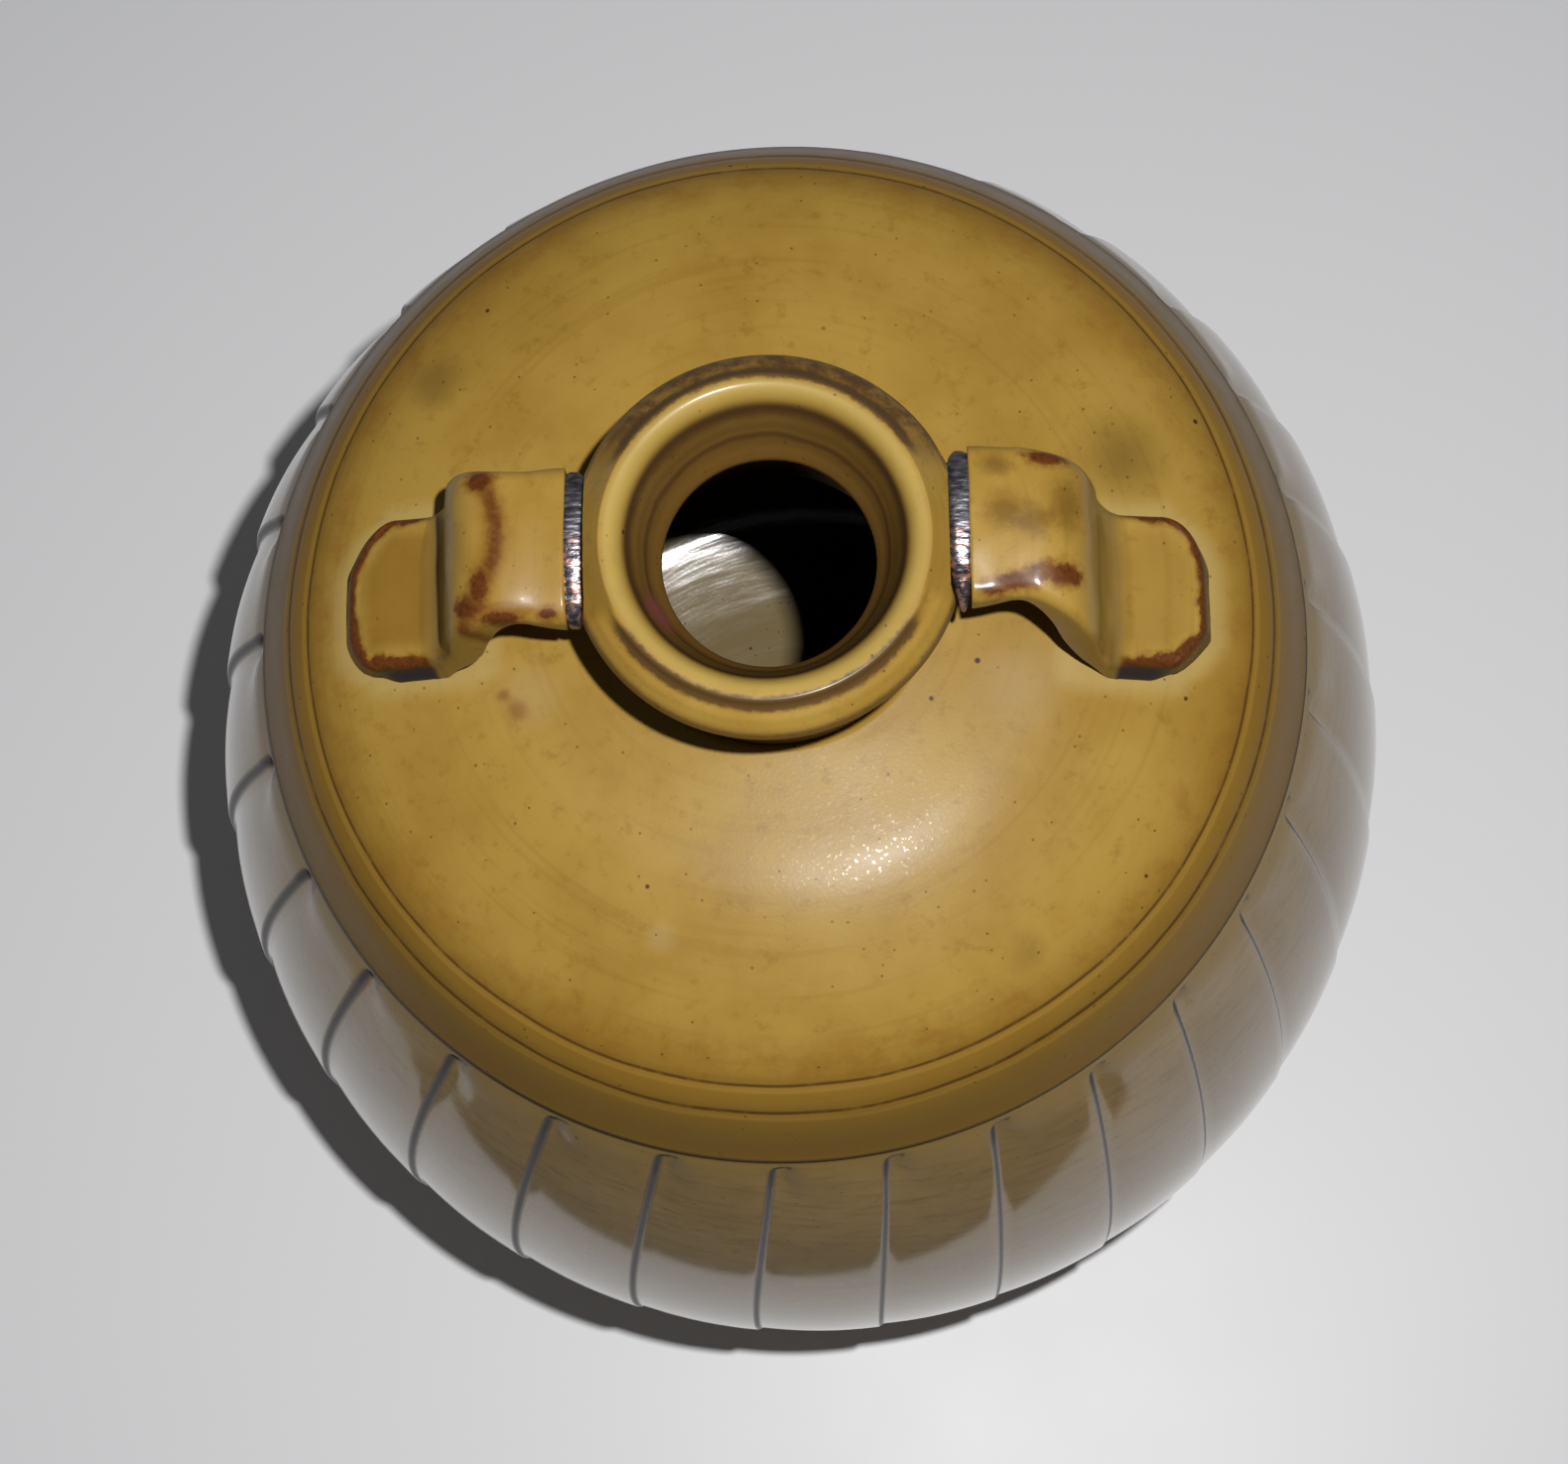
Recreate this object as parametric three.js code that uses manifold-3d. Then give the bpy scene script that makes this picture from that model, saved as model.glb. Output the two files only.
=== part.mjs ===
// Two-handled stoneware vase, modelled in the pieces a potter throws, cuts and lutes together.
// Millimetres, +Z up. The origin is on the table under the middle of the foot, the handles lie along X.
import * as THREE from 'three';
import { mergeVertices } from 'three/addons/utils/BufferGeometryUtils.js';
import Module from 'manifold-3d';

const wasm = await Module();
wasm.setup();

// Clearance left at every luted joint
const luteGap = 0.3;

// Thrown walls
const wall = 6;
const floorThickness = 7;

// Foot ring
const footHeight = 8;
const footRadius = 47;
const footWidth = 7.5;
const footEdge = 1.4;
const footBoss = 2;

// Fluted body
const bellyRadius = 80.4;
const bellyHeight = 62;
const bellyRise = 123.8;
const bellyFall = 69;
const bodyHeight = 137.3;

// Flutes, cut as overlapping panels
const fluteCount = 28;
const fluteDepth = 1.4;
const fluteFootDepth = 0.2;
const fluteTopInset = 1.3;
const fluteRunout = 5;
const fluteFootInset = 7;
const fluteTurn = 6.8;
const fluteDrift = 4.7;
const fluteDriftTurn = 222;
const fluteLean = 3.1;
const panelFacets = 4;
const stepShare = 0.1;

// Spigot of the shoulder, which drops into the mouth of the body
const spigotDepth = 4;
const spigotWall = 4;

// Shoulder
const crownRise = 23.2;
const crownSlope = 0.097;
const crownFullness = 0.915;
const turnFullness = 0.414;
const turnAngle = 61.6;
const lineInset = 5;
const lineSpacing = 2.8;
const lineWidth = 1;
const lineDepth = 0.5;

// Seat of the collar in the shoulder
const seatRadius = 20;
const seatDepth = 2;
const seatLedge = 3.8;
const openingFlare = 2.3;

// Collar
const collarHeight = 26.2;
const throatRadius = 12;
const throatDrop = 11.5;
const throatLength = 2.5;
const crestRadius = 18.7;
const crestRound = 1.4;
const lipRadius = 22.4;
const lipDrop = 4;
const lipRound = 1.3;
const neckInset = 2.2;
const rootRise = 3.6;
const lipUnderside = 7.8;
const lipRise = 2.1;
const funnelSag = 0.7;
const throatFlare = 0.3;

// Handles, each a strap bent down from the collar to a flat tab on the shoulder
const strapWidth = 18;
const strapThickness = 4.4;
const strapEdge = 0.8;
const strapDrop = 0.6;
const rimFlat = 2.3;
const fingerReach = 10;
const bendRadius = 1.6;
const tabLength = 13.9;
const tabWidth = 19.6;
const tabThickness = 3.4;
const tabCorner = 5;
const tabCornerLength = 6.5;
const tabFillet = 3.4;
const leftAside = 1.3;
const leftSway = 0;
const rightAside = -0.7;
const rightSway = 3.3;

// Bead of slip and glaze between each strap and the collar
const beadWidth = 2.2;
const beadHeight = 4.2;
const beadSink = 0.3;

// Fineness of the solids
const bodyRows = 11;
const hollowRows = 9;
const hollowTurns = 48;
const shoulderTurns = 64;
const collarTurns = 52;
const footTurns = 48;
const shoulderSteps = 12;
const collarSteps = 26;
const roundSteps = 3;

const quarter = Math.PI / 2;
const mergeDistance = 1e-4;
const reachPast = 40;

const glaze = { color: 0xb0904c, roughness: 0.32, metalness: 0 };
const paleGlaze = { color: 0xbb9c58, roughness: 0.3, metalness: 0 };
const greyGlaze = { color: 0x9a8a66, roughness: 0.28, metalness: 0 };
const bareClay = { color: 0x7d5a3c, roughness: 0.85, metalness: 0 };
const gunmetalGlaze = { color: 0x4b4a50, roughness: 0.3, metalness: 0.5 };

// Turns a closed geometry into a solid that can be joined and cut
function toSolid(geometry) {
  const bare = geometry.clone();
  bare.deleteAttribute('normal');
  bare.deleteAttribute('uv');
  const merged = mergeVertices(bare, mergeDistance);
  const corners = merged.index.array;
  const places = merged.attributes.position.array;
  const kept = [];
  let volume = 0;
  const a = new THREE.Vector3();
  const b = new THREE.Vector3();
  const c = new THREE.Vector3();
  for (let i = 0; i < corners.length; i += 3) {
    const [p, q, r] = [corners[i], corners[i + 1], corners[i + 2]];
    if (p === q || q === r || r === p) continue;
    kept.push([p, q, r]);
    a.fromArray(places, 3 * p);
    b.fromArray(places, 3 * q);
    c.fromArray(places, 3 * r);
    volume += a.dot(b.cross(c));
  }
  const facing = volume > 0 ? kept : kept.map(([p, q, r]) => [p, r, q]);
  return new wasm.Manifold(new wasm.Mesh({
    numProp: 3,
    vertProperties: new Float32Array(places),
    triVerts: new Uint32Array(facing.flat()),
  }));
}

// Makes the named mesh of a piece from its solid
function piece(name, solid, finish) {
  const mesh = solid.getMesh();
  const geometry = new THREE.BufferGeometry();
  geometry.setAttribute('position', new THREE.BufferAttribute(mesh.vertProperties, 3));
  geometry.setIndex(new THREE.BufferAttribute(mesh.triVerts, 1));
  geometry.computeVertexNormals();
  const result = new THREE.Mesh(geometry, new THREE.MeshStandardMaterial(finish));
  result.name = name;
  return result;
}

// Revolves an outline of [radius, height] points about the Z axis
function revolveGeometry(outline, turns) {
  const points = outline.map(([radius, height]) => new THREE.Vector2(radius, height));
  return new THREE.LatheGeometry(points, turns);
}

function revolve(outline, turns) {
  return toSolid(revolveGeometry(outline, turns).rotateX(quarter));
}

// A round wall: the ring outline is closed on itself
function revolveRing(outline, turns) {
  return revolve([...outline, outline[0]], turns);
}

// Extrudes an outline in the XZ plane along Y, centred on y = 0
function extrudeAcross(shape, width, edge) {
  const geometry = new THREE.ExtrudeGeometry(shape, {
    depth: width - 2 * edge,
    bevelEnabled: edge > 0,
    bevelThickness: edge,
    bevelSize: edge,
    bevelOffset: -edge,
    bevelSegments: 2,
    curveSegments: roundSteps * 2,
  });
  geometry.translate(0, 0, edge - width / 2);
  geometry.rotateX(quarter);
  return geometry;
}

function block(lowX, highX, halfWidth, lowZ, highZ) {
  const geometry = new THREE.BoxGeometry(highX - lowX, 2 * halfWidth, highZ - lowZ);
  geometry.translate((lowX + highX) / 2, 0, (lowZ + highZ) / 2);
  return geometry;
}

// Radius of the body's outside and inside at a height
function spheroid(radius, rise, fall, height) {
  const share = (height - bellyHeight) / (height > bellyHeight ? rise : fall);
  return radius * Math.sqrt(Math.max(0, 1 - share * share));
}

function bodyRadius(height) {
  return spheroid(bellyRadius, bellyRise, bellyFall, height);
}

function hollowRadius(height) {
  return spheroid(bellyRadius - wall, bellyRise - wall, bellyFall - wall, height);
}

const bodyBase = footHeight + luteGap;
const floorTop = bodyBase + floorThickness;
const jointRadius = bodyRadius(bodyHeight);
const mouthRadius = hollowRadius(bodyHeight);
const shoulderBase = bodyHeight + luteGap;
const crownHeight = bodyHeight + crownRise;
const fluteTop = bodyHeight - fluteTopInset;
const fluteFoot = bodyBase + fluteFootInset;

// Depth of the flutes at a height, which fades on the way down
function fluteCut(height) {
  if (height >= fluteTop || height <= fluteFoot) return 0;
  const along = (height - fluteFoot) / (fluteTop - fluteFoot);
  const depth = fluteFootDepth + (fluteDepth - fluteFootDepth) * along ** 2;
  const easeTop = Math.min(1, (fluteTop - height) / fluteRunout);
  const easeFoot = Math.min(1, (height - fluteFoot) / (2 * fluteRunout));
  return depth * Math.sin(quarter * easeTop) * Math.sin(quarter * easeFoot);
}

// Azimuth of a panel's edge in degrees. A hand spaces the edges, closer on one side of the body
function fluteEdge(index) {
  const even = fluteTurn + 360 * index / fluteCount;
  return even + fluteDrift * Math.cos(THREE.MathUtils.degToRad(even - fluteDriftTurn));
}

// Where a column of points lies across its panel, and the share of the cut that it has. The first column
// is on the panel's edge and the second at the foot of the step
function panelPlace(column) {
  const place = column % panelFacets;
  if (place === 0) return { across: 0, cut: 0 };
  const share = (place - 1) / (panelFacets - 1);
  return { across: stepShare + (1 - stepShare) * share, cut: (1 - share) ** 2 };
}

// Azimuth in degrees of a column at a height. The panels lean back on the way down to the belly
function fluteAzimuth(column, height) {
  const panel = Math.floor(column / panelFacets);
  const width = fluteEdge(panel + 1) - fluteEdge(panel);
  const down = Math.min(1, Math.max(0, (fluteTop - height) / (fluteTop - bellyHeight)));
  const lean = fluteLean * (1 - (1 - down) ** 2);
  return fluteEdge(panel) + width * panelPlace(column).across - lean;
}

// Foot ring, with a recess for the boss under the body
function footRing() {
  const inner = footRadius - footWidth;
  return revolveRing([
    [inner, footEdge],
    [inner + footEdge, 0],
    [footRadius - footEdge, 0],
    [footRadius, footEdge],
    [footRadius, footHeight],
    [inner, footHeight],
  ], footTurns);
}

// Body with floor, boss and fluted outside
function flutedBody() {
  const bossRadius = footRadius - footWidth - luteGap;
  const rows = [];
  for (let i = 0; i <= bodyRows; i += 1) {
    rows.push(bodyBase + (fluteTop - fluteRunout - bodyBase) * i / bodyRows);
  }
  for (let i = 1; i <= roundSteps; i += 1) {
    rows.push(fluteTop - fluteRunout * (1 - i / roundSteps));
  }
  rows.push(bodyHeight);
  const outline = [
    [0, bodyBase - footBoss],
    [bossRadius, bodyBase - footBoss],
    [bossRadius, bodyBase],
    ...rows.map((height) => [bodyRadius(height), height]),
    [0, bodyHeight],
  ];
  const geometry = revolveGeometry(outline, fluteCount * panelFacets);
  const position = geometry.attributes.position;
  for (let i = 0; i < position.count; i += 1) {
    const column = Math.floor(i / outline.length);
    const [radius, height] = outline[i % outline.length];
    const angle = THREE.MathUtils.degToRad(fluteAzimuth(column, height)) + quarter;
    const cut = radius > bossRadius ? fluteCut(height) * panelPlace(column).cut : 0;
    position.setXYZ(i, (radius - cut) * Math.sin(angle), height, (radius - cut) * Math.cos(angle));
  }
  const inside = [];
  for (let i = 0; i <= hollowRows; i += 1) {
    const height = floorTop + (bodyHeight - floorTop) * i / hollowRows;
    inside.push([hollowRadius(height), height]);
  }
  const hollow = revolve([
    [0, floorTop],
    ...inside,
    [mouthRadius, bodyHeight + reachPast],
    [0, bodyHeight + reachPast],
  ], hollowTurns);
  return toSolid(geometry.rotateX(quarter)).subtract(hollow);
}

// Shoulder curve from the collar's seat out to the joint with the body
const shoulderAngle = THREE.MathUtils.degToRad(turnAngle);
const crownRun = crownFullness * (jointRadius - seatRadius);
const turnRise = turnFullness * (crownHeight - shoulderBase);
const shoulderCurve = new THREE.CubicBezierCurve(
  new THREE.Vector2(seatRadius, crownHeight),
  new THREE.Vector2(seatRadius + crownRun, crownHeight - crownSlope * crownRun),
  new THREE.Vector2(jointRadius - turnRise / Math.tan(shoulderAngle), shoulderBase + turnRise),
  new THREE.Vector2(jointRadius, shoulderBase),
);

// Height of the shoulder's surface at a radius
function shoulderHeight(radius) {
  let low = 0;
  let high = 1;
  const halvings = 40;
  for (let i = 0; i < halvings; i += 1) {
    const middle = (low + high) / 2;
    if (shoulderCurve.getPoint(middle).x < radius) low = middle;
    else high = middle;
  }
  return shoulderCurve.getPoint(low).y;
}

// The shoulder curve moved outwards by a distance, or inwards by a negative one
function shoulderOffset(distance) {
  const points = [];
  for (let i = 0; i <= shoulderSteps; i += 1) {
    const share = i / shoulderSteps;
    const point = shoulderCurve.getPoint(share);
    const tangent = shoulderCurve.getTangent(share);
    points.push([point.x - tangent.y * distance, point.y + tangent.x * distance]);
  }
  return points;
}

// Adds the two thrown lines to the shoulder's outline as small grooves
function withLines(points) {
  const lines = [jointRadius - lineInset - lineSpacing, jointRadius - lineInset];
  const half = lineWidth / 2;
  const grooves = lines.map((radius) => [
    [radius - half, shoulderHeight(radius - half)],
    [radius - lineDepth / 2, shoulderHeight(radius) - lineDepth],
    [radius + half, shoulderHeight(radius + half)],
  ]);
  const clear = points.filter(([radius]) => lines.every((line) => Math.abs(radius - line) > lineWidth));
  return [...clear, ...grooves.flat()].sort((p, q) => p[0] - q[0]);
}

function shoulder() {
  const spigotRadius = mouthRadius - luteGap;
  const spigotInner = spigotRadius - spigotWall;
  const ledge = seatRadius - seatLedge;
  const inside = shoulderOffset(-wall)
    .filter(([radius]) => radius < spigotInner && radius > ledge + openingFlare);
  const top = inside[0];
  const last = inside[inside.length - 1];
  return revolveRing([
    [ledge, crownHeight - seatDepth],
    [seatRadius, crownHeight - seatDepth],
    ...withLines(shoulderOffset(0)),
    [spigotRadius, shoulderBase],
    [spigotRadius, shoulderBase - luteGap - spigotDepth],
    [spigotInner, shoulderBase - luteGap - spigotDepth],
    [spigotInner, last[1]],
    ...inside.reverse(),
    [ledge + openingFlare, top[1]],
  ], shoulderTurns);
}

// Collar: root, neck, lip, groove, crest, funnel and throat
const collarBase = crownHeight - seatDepth + luteGap;
const crestHeight = collarBase + collarHeight;
const lipHeight = crestHeight - lipDrop;
const throatHeight = crestHeight - throatDrop;
const rimFace = lipRadius - rimFlat;
const strapTop = lipHeight - strapDrop;

function collarOutline() {
  const rootRadius = seatRadius - luteGap;
  const neckRadius = seatRadius - neckInset;
  const ledge = seatRadius - seatLedge;
  const outside = new THREE.SplineCurve([
    new THREE.Vector2(rootRadius, collarBase + seatDepth),
    new THREE.Vector2(neckRadius, collarBase + seatDepth + rootRise),
    new THREE.Vector2(neckRadius, lipHeight - lipUnderside),
    new THREE.Vector2(lipRadius - lipRound, lipHeight - lipRise),
    new THREE.Vector2(lipRadius, lipHeight),
    new THREE.Vector2(lipRadius - lipRound, lipHeight + lipRound),
    new THREE.Vector2((lipRadius - lipRound + crestRadius) / 2, lipHeight + lipRise),
    new THREE.Vector2(crestRadius + crestRound, crestHeight - crestRound / 2),
    new THREE.Vector2(crestRadius, crestHeight),
    new THREE.Vector2(crestRadius - crestRound, crestHeight - crestRound / 2),
    new THREE.Vector2((crestRadius + throatRadius) / 2, (crestHeight + throatHeight) / 2 - funnelSag),
    new THREE.Vector2(throatRadius, throatHeight),
    new THREE.Vector2(throatRadius + throatFlare, throatHeight - throatLength),
  ]).getPoints(collarSteps);
  return [
    [ledge, collarBase],
    [rootRadius, collarBase],
    ...outside.map((point) => [point.x, point.y]),
  ];
}

// Lug of clay that fills the corner between the round lip and the straight end of a strap
function collarLug(side, aside, sway) {
  const lug = block(crestRadius - crestRound, rimFace, strapWidth / 2, strapTop - strapThickness, strapTop);
  return toSolid(placed(lug, side, aside, sway));
}

function neckCollar() {
  const below = throatHeight - throatLength;
  const beyond = block(rimFace, rimFace + reachPast, strapWidth, below, crestHeight + wall);
  return revolveRing(collarOutline(), collarTurns)
    .add(collarLug(1, rightAside, rightSway))
    .add(collarLug(-1, leftAside, leftSway))
    .subtract(toSolid(turned(beyond.clone(), 1)))
    .subtract(toSolid(turned(beyond.clone(), -1)));
}

// Places a geometry on the right (+X) side, or turns it half round to the left
function turned(geometry, side) {
  return side > 0 ? geometry : geometry.rotateZ(Math.PI);
}

const legInner = lipRadius + fingerReach;
const legOuter = legInner + strapThickness;

// Puts a piece of a handle on its side and aside of the X axis, with its end at the collar swayed
function placed(geometry, side, aside, sway) {
  const position = geometry.attributes.position;
  for (let i = 0; i < position.count; i += 1) {
    const share = Math.max(0, (legOuter - position.getX(i)) / (legOuter - rimFace));
    position.setY(i, position.getY(i) + side * (aside + sway * share));
  }
  return turned(geometry, side);
}

// Everything under the shoulder's surface raised by a distance
function underShoulder(distance) {
  return revolve([
    [0, bodyHeight - reachPast],
    [jointRadius + distance, bodyHeight - reachPast],
    ...shoulderOffset(distance).reverse(),
    [0, crownHeight + distance],
  ], shoulderTurns);
}

// Side outline of the strap, from the collar over the bend to the tab
function strapOutline() {
  const start = rimFace + beadWidth + 2 * luteGap;
  const tabTop = shoulderHeight(legOuter + tabFillet) + luteGap + tabThickness;
  const buried = shoulderHeight(legOuter) - tabThickness;
  const outer = bendRadius + strapThickness;
  const outline = new THREE.Shape();
  outline.moveTo(start, strapTop);
  outline.lineTo(legOuter - outer, strapTop);
  outline.absarc(legOuter - outer, strapTop - outer, outer, quarter, 0, true);
  outline.lineTo(legOuter, tabTop + tabFillet);
  outline.absarc(legOuter + tabFillet, tabTop + tabFillet, tabFillet, Math.PI, 3 * quarter, false);
  outline.lineTo(legOuter + tabFillet, buried);
  outline.lineTo(legInner, buried);
  outline.lineTo(legInner, strapTop - outer);
  outline.absarc(legInner - bendRadius, strapTop - outer, bendRadius, 0, quarter, false);
  outline.lineTo(start, strapTop - strapThickness);
  return outline;
}

// Plan outline of the tab, with its two outer corners clipped and rounded
function tabOutline() {
  const half = tabWidth / 2;
  const end = legOuter + tabLength;
  const outline = new THREE.Shape();
  outline.moveTo(legInner, -strapWidth / 2);
  outline.lineTo(legOuter, -half);
  outline.lineTo(end - tabCorner, -half);
  outline.quadraticCurveTo(end - tabCorner / 3, -half, end, -half + tabCornerLength);
  outline.lineTo(end, half - tabCornerLength);
  outline.quadraticCurveTo(end - tabCorner / 3, half, end - tabCorner, half);
  outline.lineTo(legOuter, half);
  outline.lineTo(legInner, strapWidth / 2);
  return outline;
}

// One handle: the strap is cut off at the shoulder, and the tab lies on it with an even thickness
function handle(side, aside, sway) {
  const prism = new THREE.ExtrudeGeometry(tabOutline(), {
    depth: reachPast,
    bevelEnabled: false,
    curveSegments: roundSteps * 2,
  });
  prism.translate(0, 0, bodyHeight);
  const strip = extrudeAcross(strapOutline(), strapWidth, strapEdge);
  const strap = toSolid(placed(strip, side, aside, sway));
  const tab = toSolid(placed(prism, side, aside, sway)).intersect(underShoulder(luteGap + tabThickness));
  return strap.add(tab).subtract(underShoulder(luteGap));
}

// Bead between the lug of the collar and the end of the strap
function jointBead(side, aside, sway) {
  const low = rimFace + luteGap;
  const high = low + beadWidth;
  const top = strapTop - beadSink;
  const outline = new THREE.Shape();
  outline.moveTo(low, top - beadHeight);
  outline.lineTo(high, top - beadHeight);
  outline.lineTo(high, top - beadWidth / 2);
  outline.absarc((low + high) / 2, top - beadWidth / 2, beadWidth / 2, 0, Math.PI, false);
  return toSolid(placed(extrudeAcross(outline, strapWidth, 0), side, aside, sway));
}

const group = new THREE.Group();
group.add(piece('foot_ring', footRing(), bareClay));
group.add(piece('fluted_body', flutedBody(), greyGlaze));
group.add(piece('shoulder', shoulder(), glaze));
group.add(piece('neck_collar', neckCollar(), paleGlaze));
group.add(piece('left_handle', handle(-1, leftAside, leftSway), glaze));
group.add(piece('right_handle', handle(1, rightAside, rightSway), glaze));
group.add(piece('left_joint_bead', jointBead(-1, leftAside, leftSway), gunmetalGlaze));
group.add(piece('right_joint_bead', jointBead(1, rightAside, rightSway), gunmetalGlaze));

export default group;
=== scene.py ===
"""The looks of a two-handled stoneware vase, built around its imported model.

The classes hold their lengths in millimetres and their angles in degrees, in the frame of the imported
model: +Z up along the wheel's axis, +X through the right handle. A mesh is brought to metres when its
piece is finished. Colours are linear.
"""

from __future__ import annotations

import logging
import math
from dataclasses import dataclass, field
from enum import Enum
from typing import Any, Callable, ClassVar, Sequence, Union

import bmesh
import bpy
from mathutils import Matrix, Vector, noise


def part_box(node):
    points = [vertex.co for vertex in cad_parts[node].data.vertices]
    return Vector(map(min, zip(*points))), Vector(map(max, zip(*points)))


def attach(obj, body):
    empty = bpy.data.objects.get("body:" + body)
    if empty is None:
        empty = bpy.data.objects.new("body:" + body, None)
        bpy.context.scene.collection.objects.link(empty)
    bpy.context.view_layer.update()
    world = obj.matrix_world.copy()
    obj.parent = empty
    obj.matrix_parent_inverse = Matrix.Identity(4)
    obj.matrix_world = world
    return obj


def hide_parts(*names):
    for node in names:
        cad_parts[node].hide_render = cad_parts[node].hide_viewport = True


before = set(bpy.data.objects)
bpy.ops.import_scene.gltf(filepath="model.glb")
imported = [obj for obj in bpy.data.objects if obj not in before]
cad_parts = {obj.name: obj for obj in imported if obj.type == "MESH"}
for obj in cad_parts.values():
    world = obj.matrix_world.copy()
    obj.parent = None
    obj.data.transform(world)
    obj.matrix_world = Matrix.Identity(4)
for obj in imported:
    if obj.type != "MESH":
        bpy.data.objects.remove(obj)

LOG = logging.getLogger("vase")
METRES = 0.001
MILLIMETRES = 1000.0
LUTE_GAP = 0.3
BODY = "root"

Colour = tuple[float, float, float]
Point = tuple[float, float]
Spot = tuple[float, float, float]
Patch = tuple[Point, Point]


class Slot(Enum):
    """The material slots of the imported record."""

    BARE_FOOT = "bare_foot"
    BODY = "body_glaze"
    SHOULDER = "shoulder_glaze"
    COLLAR = "collar_glaze"
    HANDLE = "handle_glaze"
    GUNMETAL = "gunmetal_glaze"


class Side(Enum):
    """The side of the vase that a handle is on, as the sign of its X."""

    LEFT = -1
    RIGHT = 1


def cad_box(node: str) -> tuple[Vector, Vector]:
    """Reads the box of a CAD node.

    Args:
        node: The node's name.

    Returns:
        Its lowest and highest corners in millimetres.
    """
    low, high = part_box(node)
    return low * MILLIMETRES, high * MILLIMETRES


def between(low: float, high: float, value: float) -> float:
    """Eases a value from 0 at one edge to 1 at the other.

    Args:
        low: The value that gives 0.
        high: The value that gives 1.
        value: The value to ease.

    Returns:
        The eased share, from 0 to 1.
    """
    share = min(1.0, max(0.0, (value - low) / (high - low)))
    return share * share * (3 - 2 * share)


def arc(centre: Point, radius: float, start: float, end: float, steps: int) -> list[Point]:
    """Makes points on an arc.

    Args:
        centre: The centre of the arc.
        radius: Its radius.
        start: The angle of its first point, in degrees.
        end: The angle of its last point, in degrees.
        steps: The number of steps between the two.

    Returns:
        The points, from the first to the last.
    """
    points = []
    for i in range(steps + 1):
        angle = math.radians(start + (end - start) * i / steps)
        points.append((centre[0] + radius * math.cos(angle), centre[1] + radius * math.sin(angle)))
    return points


def flowing(points: Sequence[Point], steps: int) -> list[Point]:
    """Draws a smooth curve through points.

    Args:
        points: The points that the curve passes through.
        steps: The number of steps between two of them.

    Returns:
        The points on the curve, the given ones among them.
    """
    ends = [points[0], *points, points[-1]]
    curve = []
    for before, here, there, after in zip(ends, ends[1:], ends[2:], ends[3:]):
        for i in range(steps):
            t = i / steps
            curve.append(tuple(
                0.5 * (2 * q + (r - p) * t + (2 * p - 5 * q + 4 * r - s) * t * t
                       + (3 * q - p - 3 * r + s) * t ** 3)
                for p, q, r, s in zip(before, here, there, after)
            ))
    return [*curve, points[-1]]


def ripple(angle: float, height: float, turns: float, pitch: float) -> float:
    """Gives the slow unevenness of thrown clay.

    Args:
        angle: The azimuth, in radians.
        height: The height, in millimetres.
        turns: How fast it changes round the axis.
        pitch: How fast it changes with height, as a length in millimetres.

    Returns:
        A value from about -1 to 1.
    """
    return noise.noise(Vector((turns * math.cos(angle), turns * math.sin(angle), height / pitch)))


class Wire:
    """An output of a shader node, with the arithmetic of numbers."""

    def __init__(self, graph: "Graph", socket: bpy.types.NodeSocket) -> None:
        """Keeps the socket and the graph that it belongs to."""
        self.graph = graph
        self.socket = socket

    def __add__(self, other: "Value") -> "Wire":
        """Adds."""
        return self.graph.math("ADD", self, other)

    __radd__ = __add__

    def __sub__(self, other: "Value") -> "Wire":
        """Subtracts another value from this one."""
        return self.graph.math("SUBTRACT", self, other)

    def __rsub__(self, other: "Value") -> "Wire":
        """Subtracts this value from another."""
        return self.graph.math("SUBTRACT", other, self)

    def __mul__(self, other: "Value") -> "Wire":
        """Multiplies."""
        return self.graph.math("MULTIPLY", self, other)

    __rmul__ = __mul__

    def __truediv__(self, other: "Value") -> "Wire":
        """Divides by another value."""
        return self.graph.math("DIVIDE", self, other)


Value = Union[Wire, float]
Paint = Union[Wire, Colour]


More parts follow.
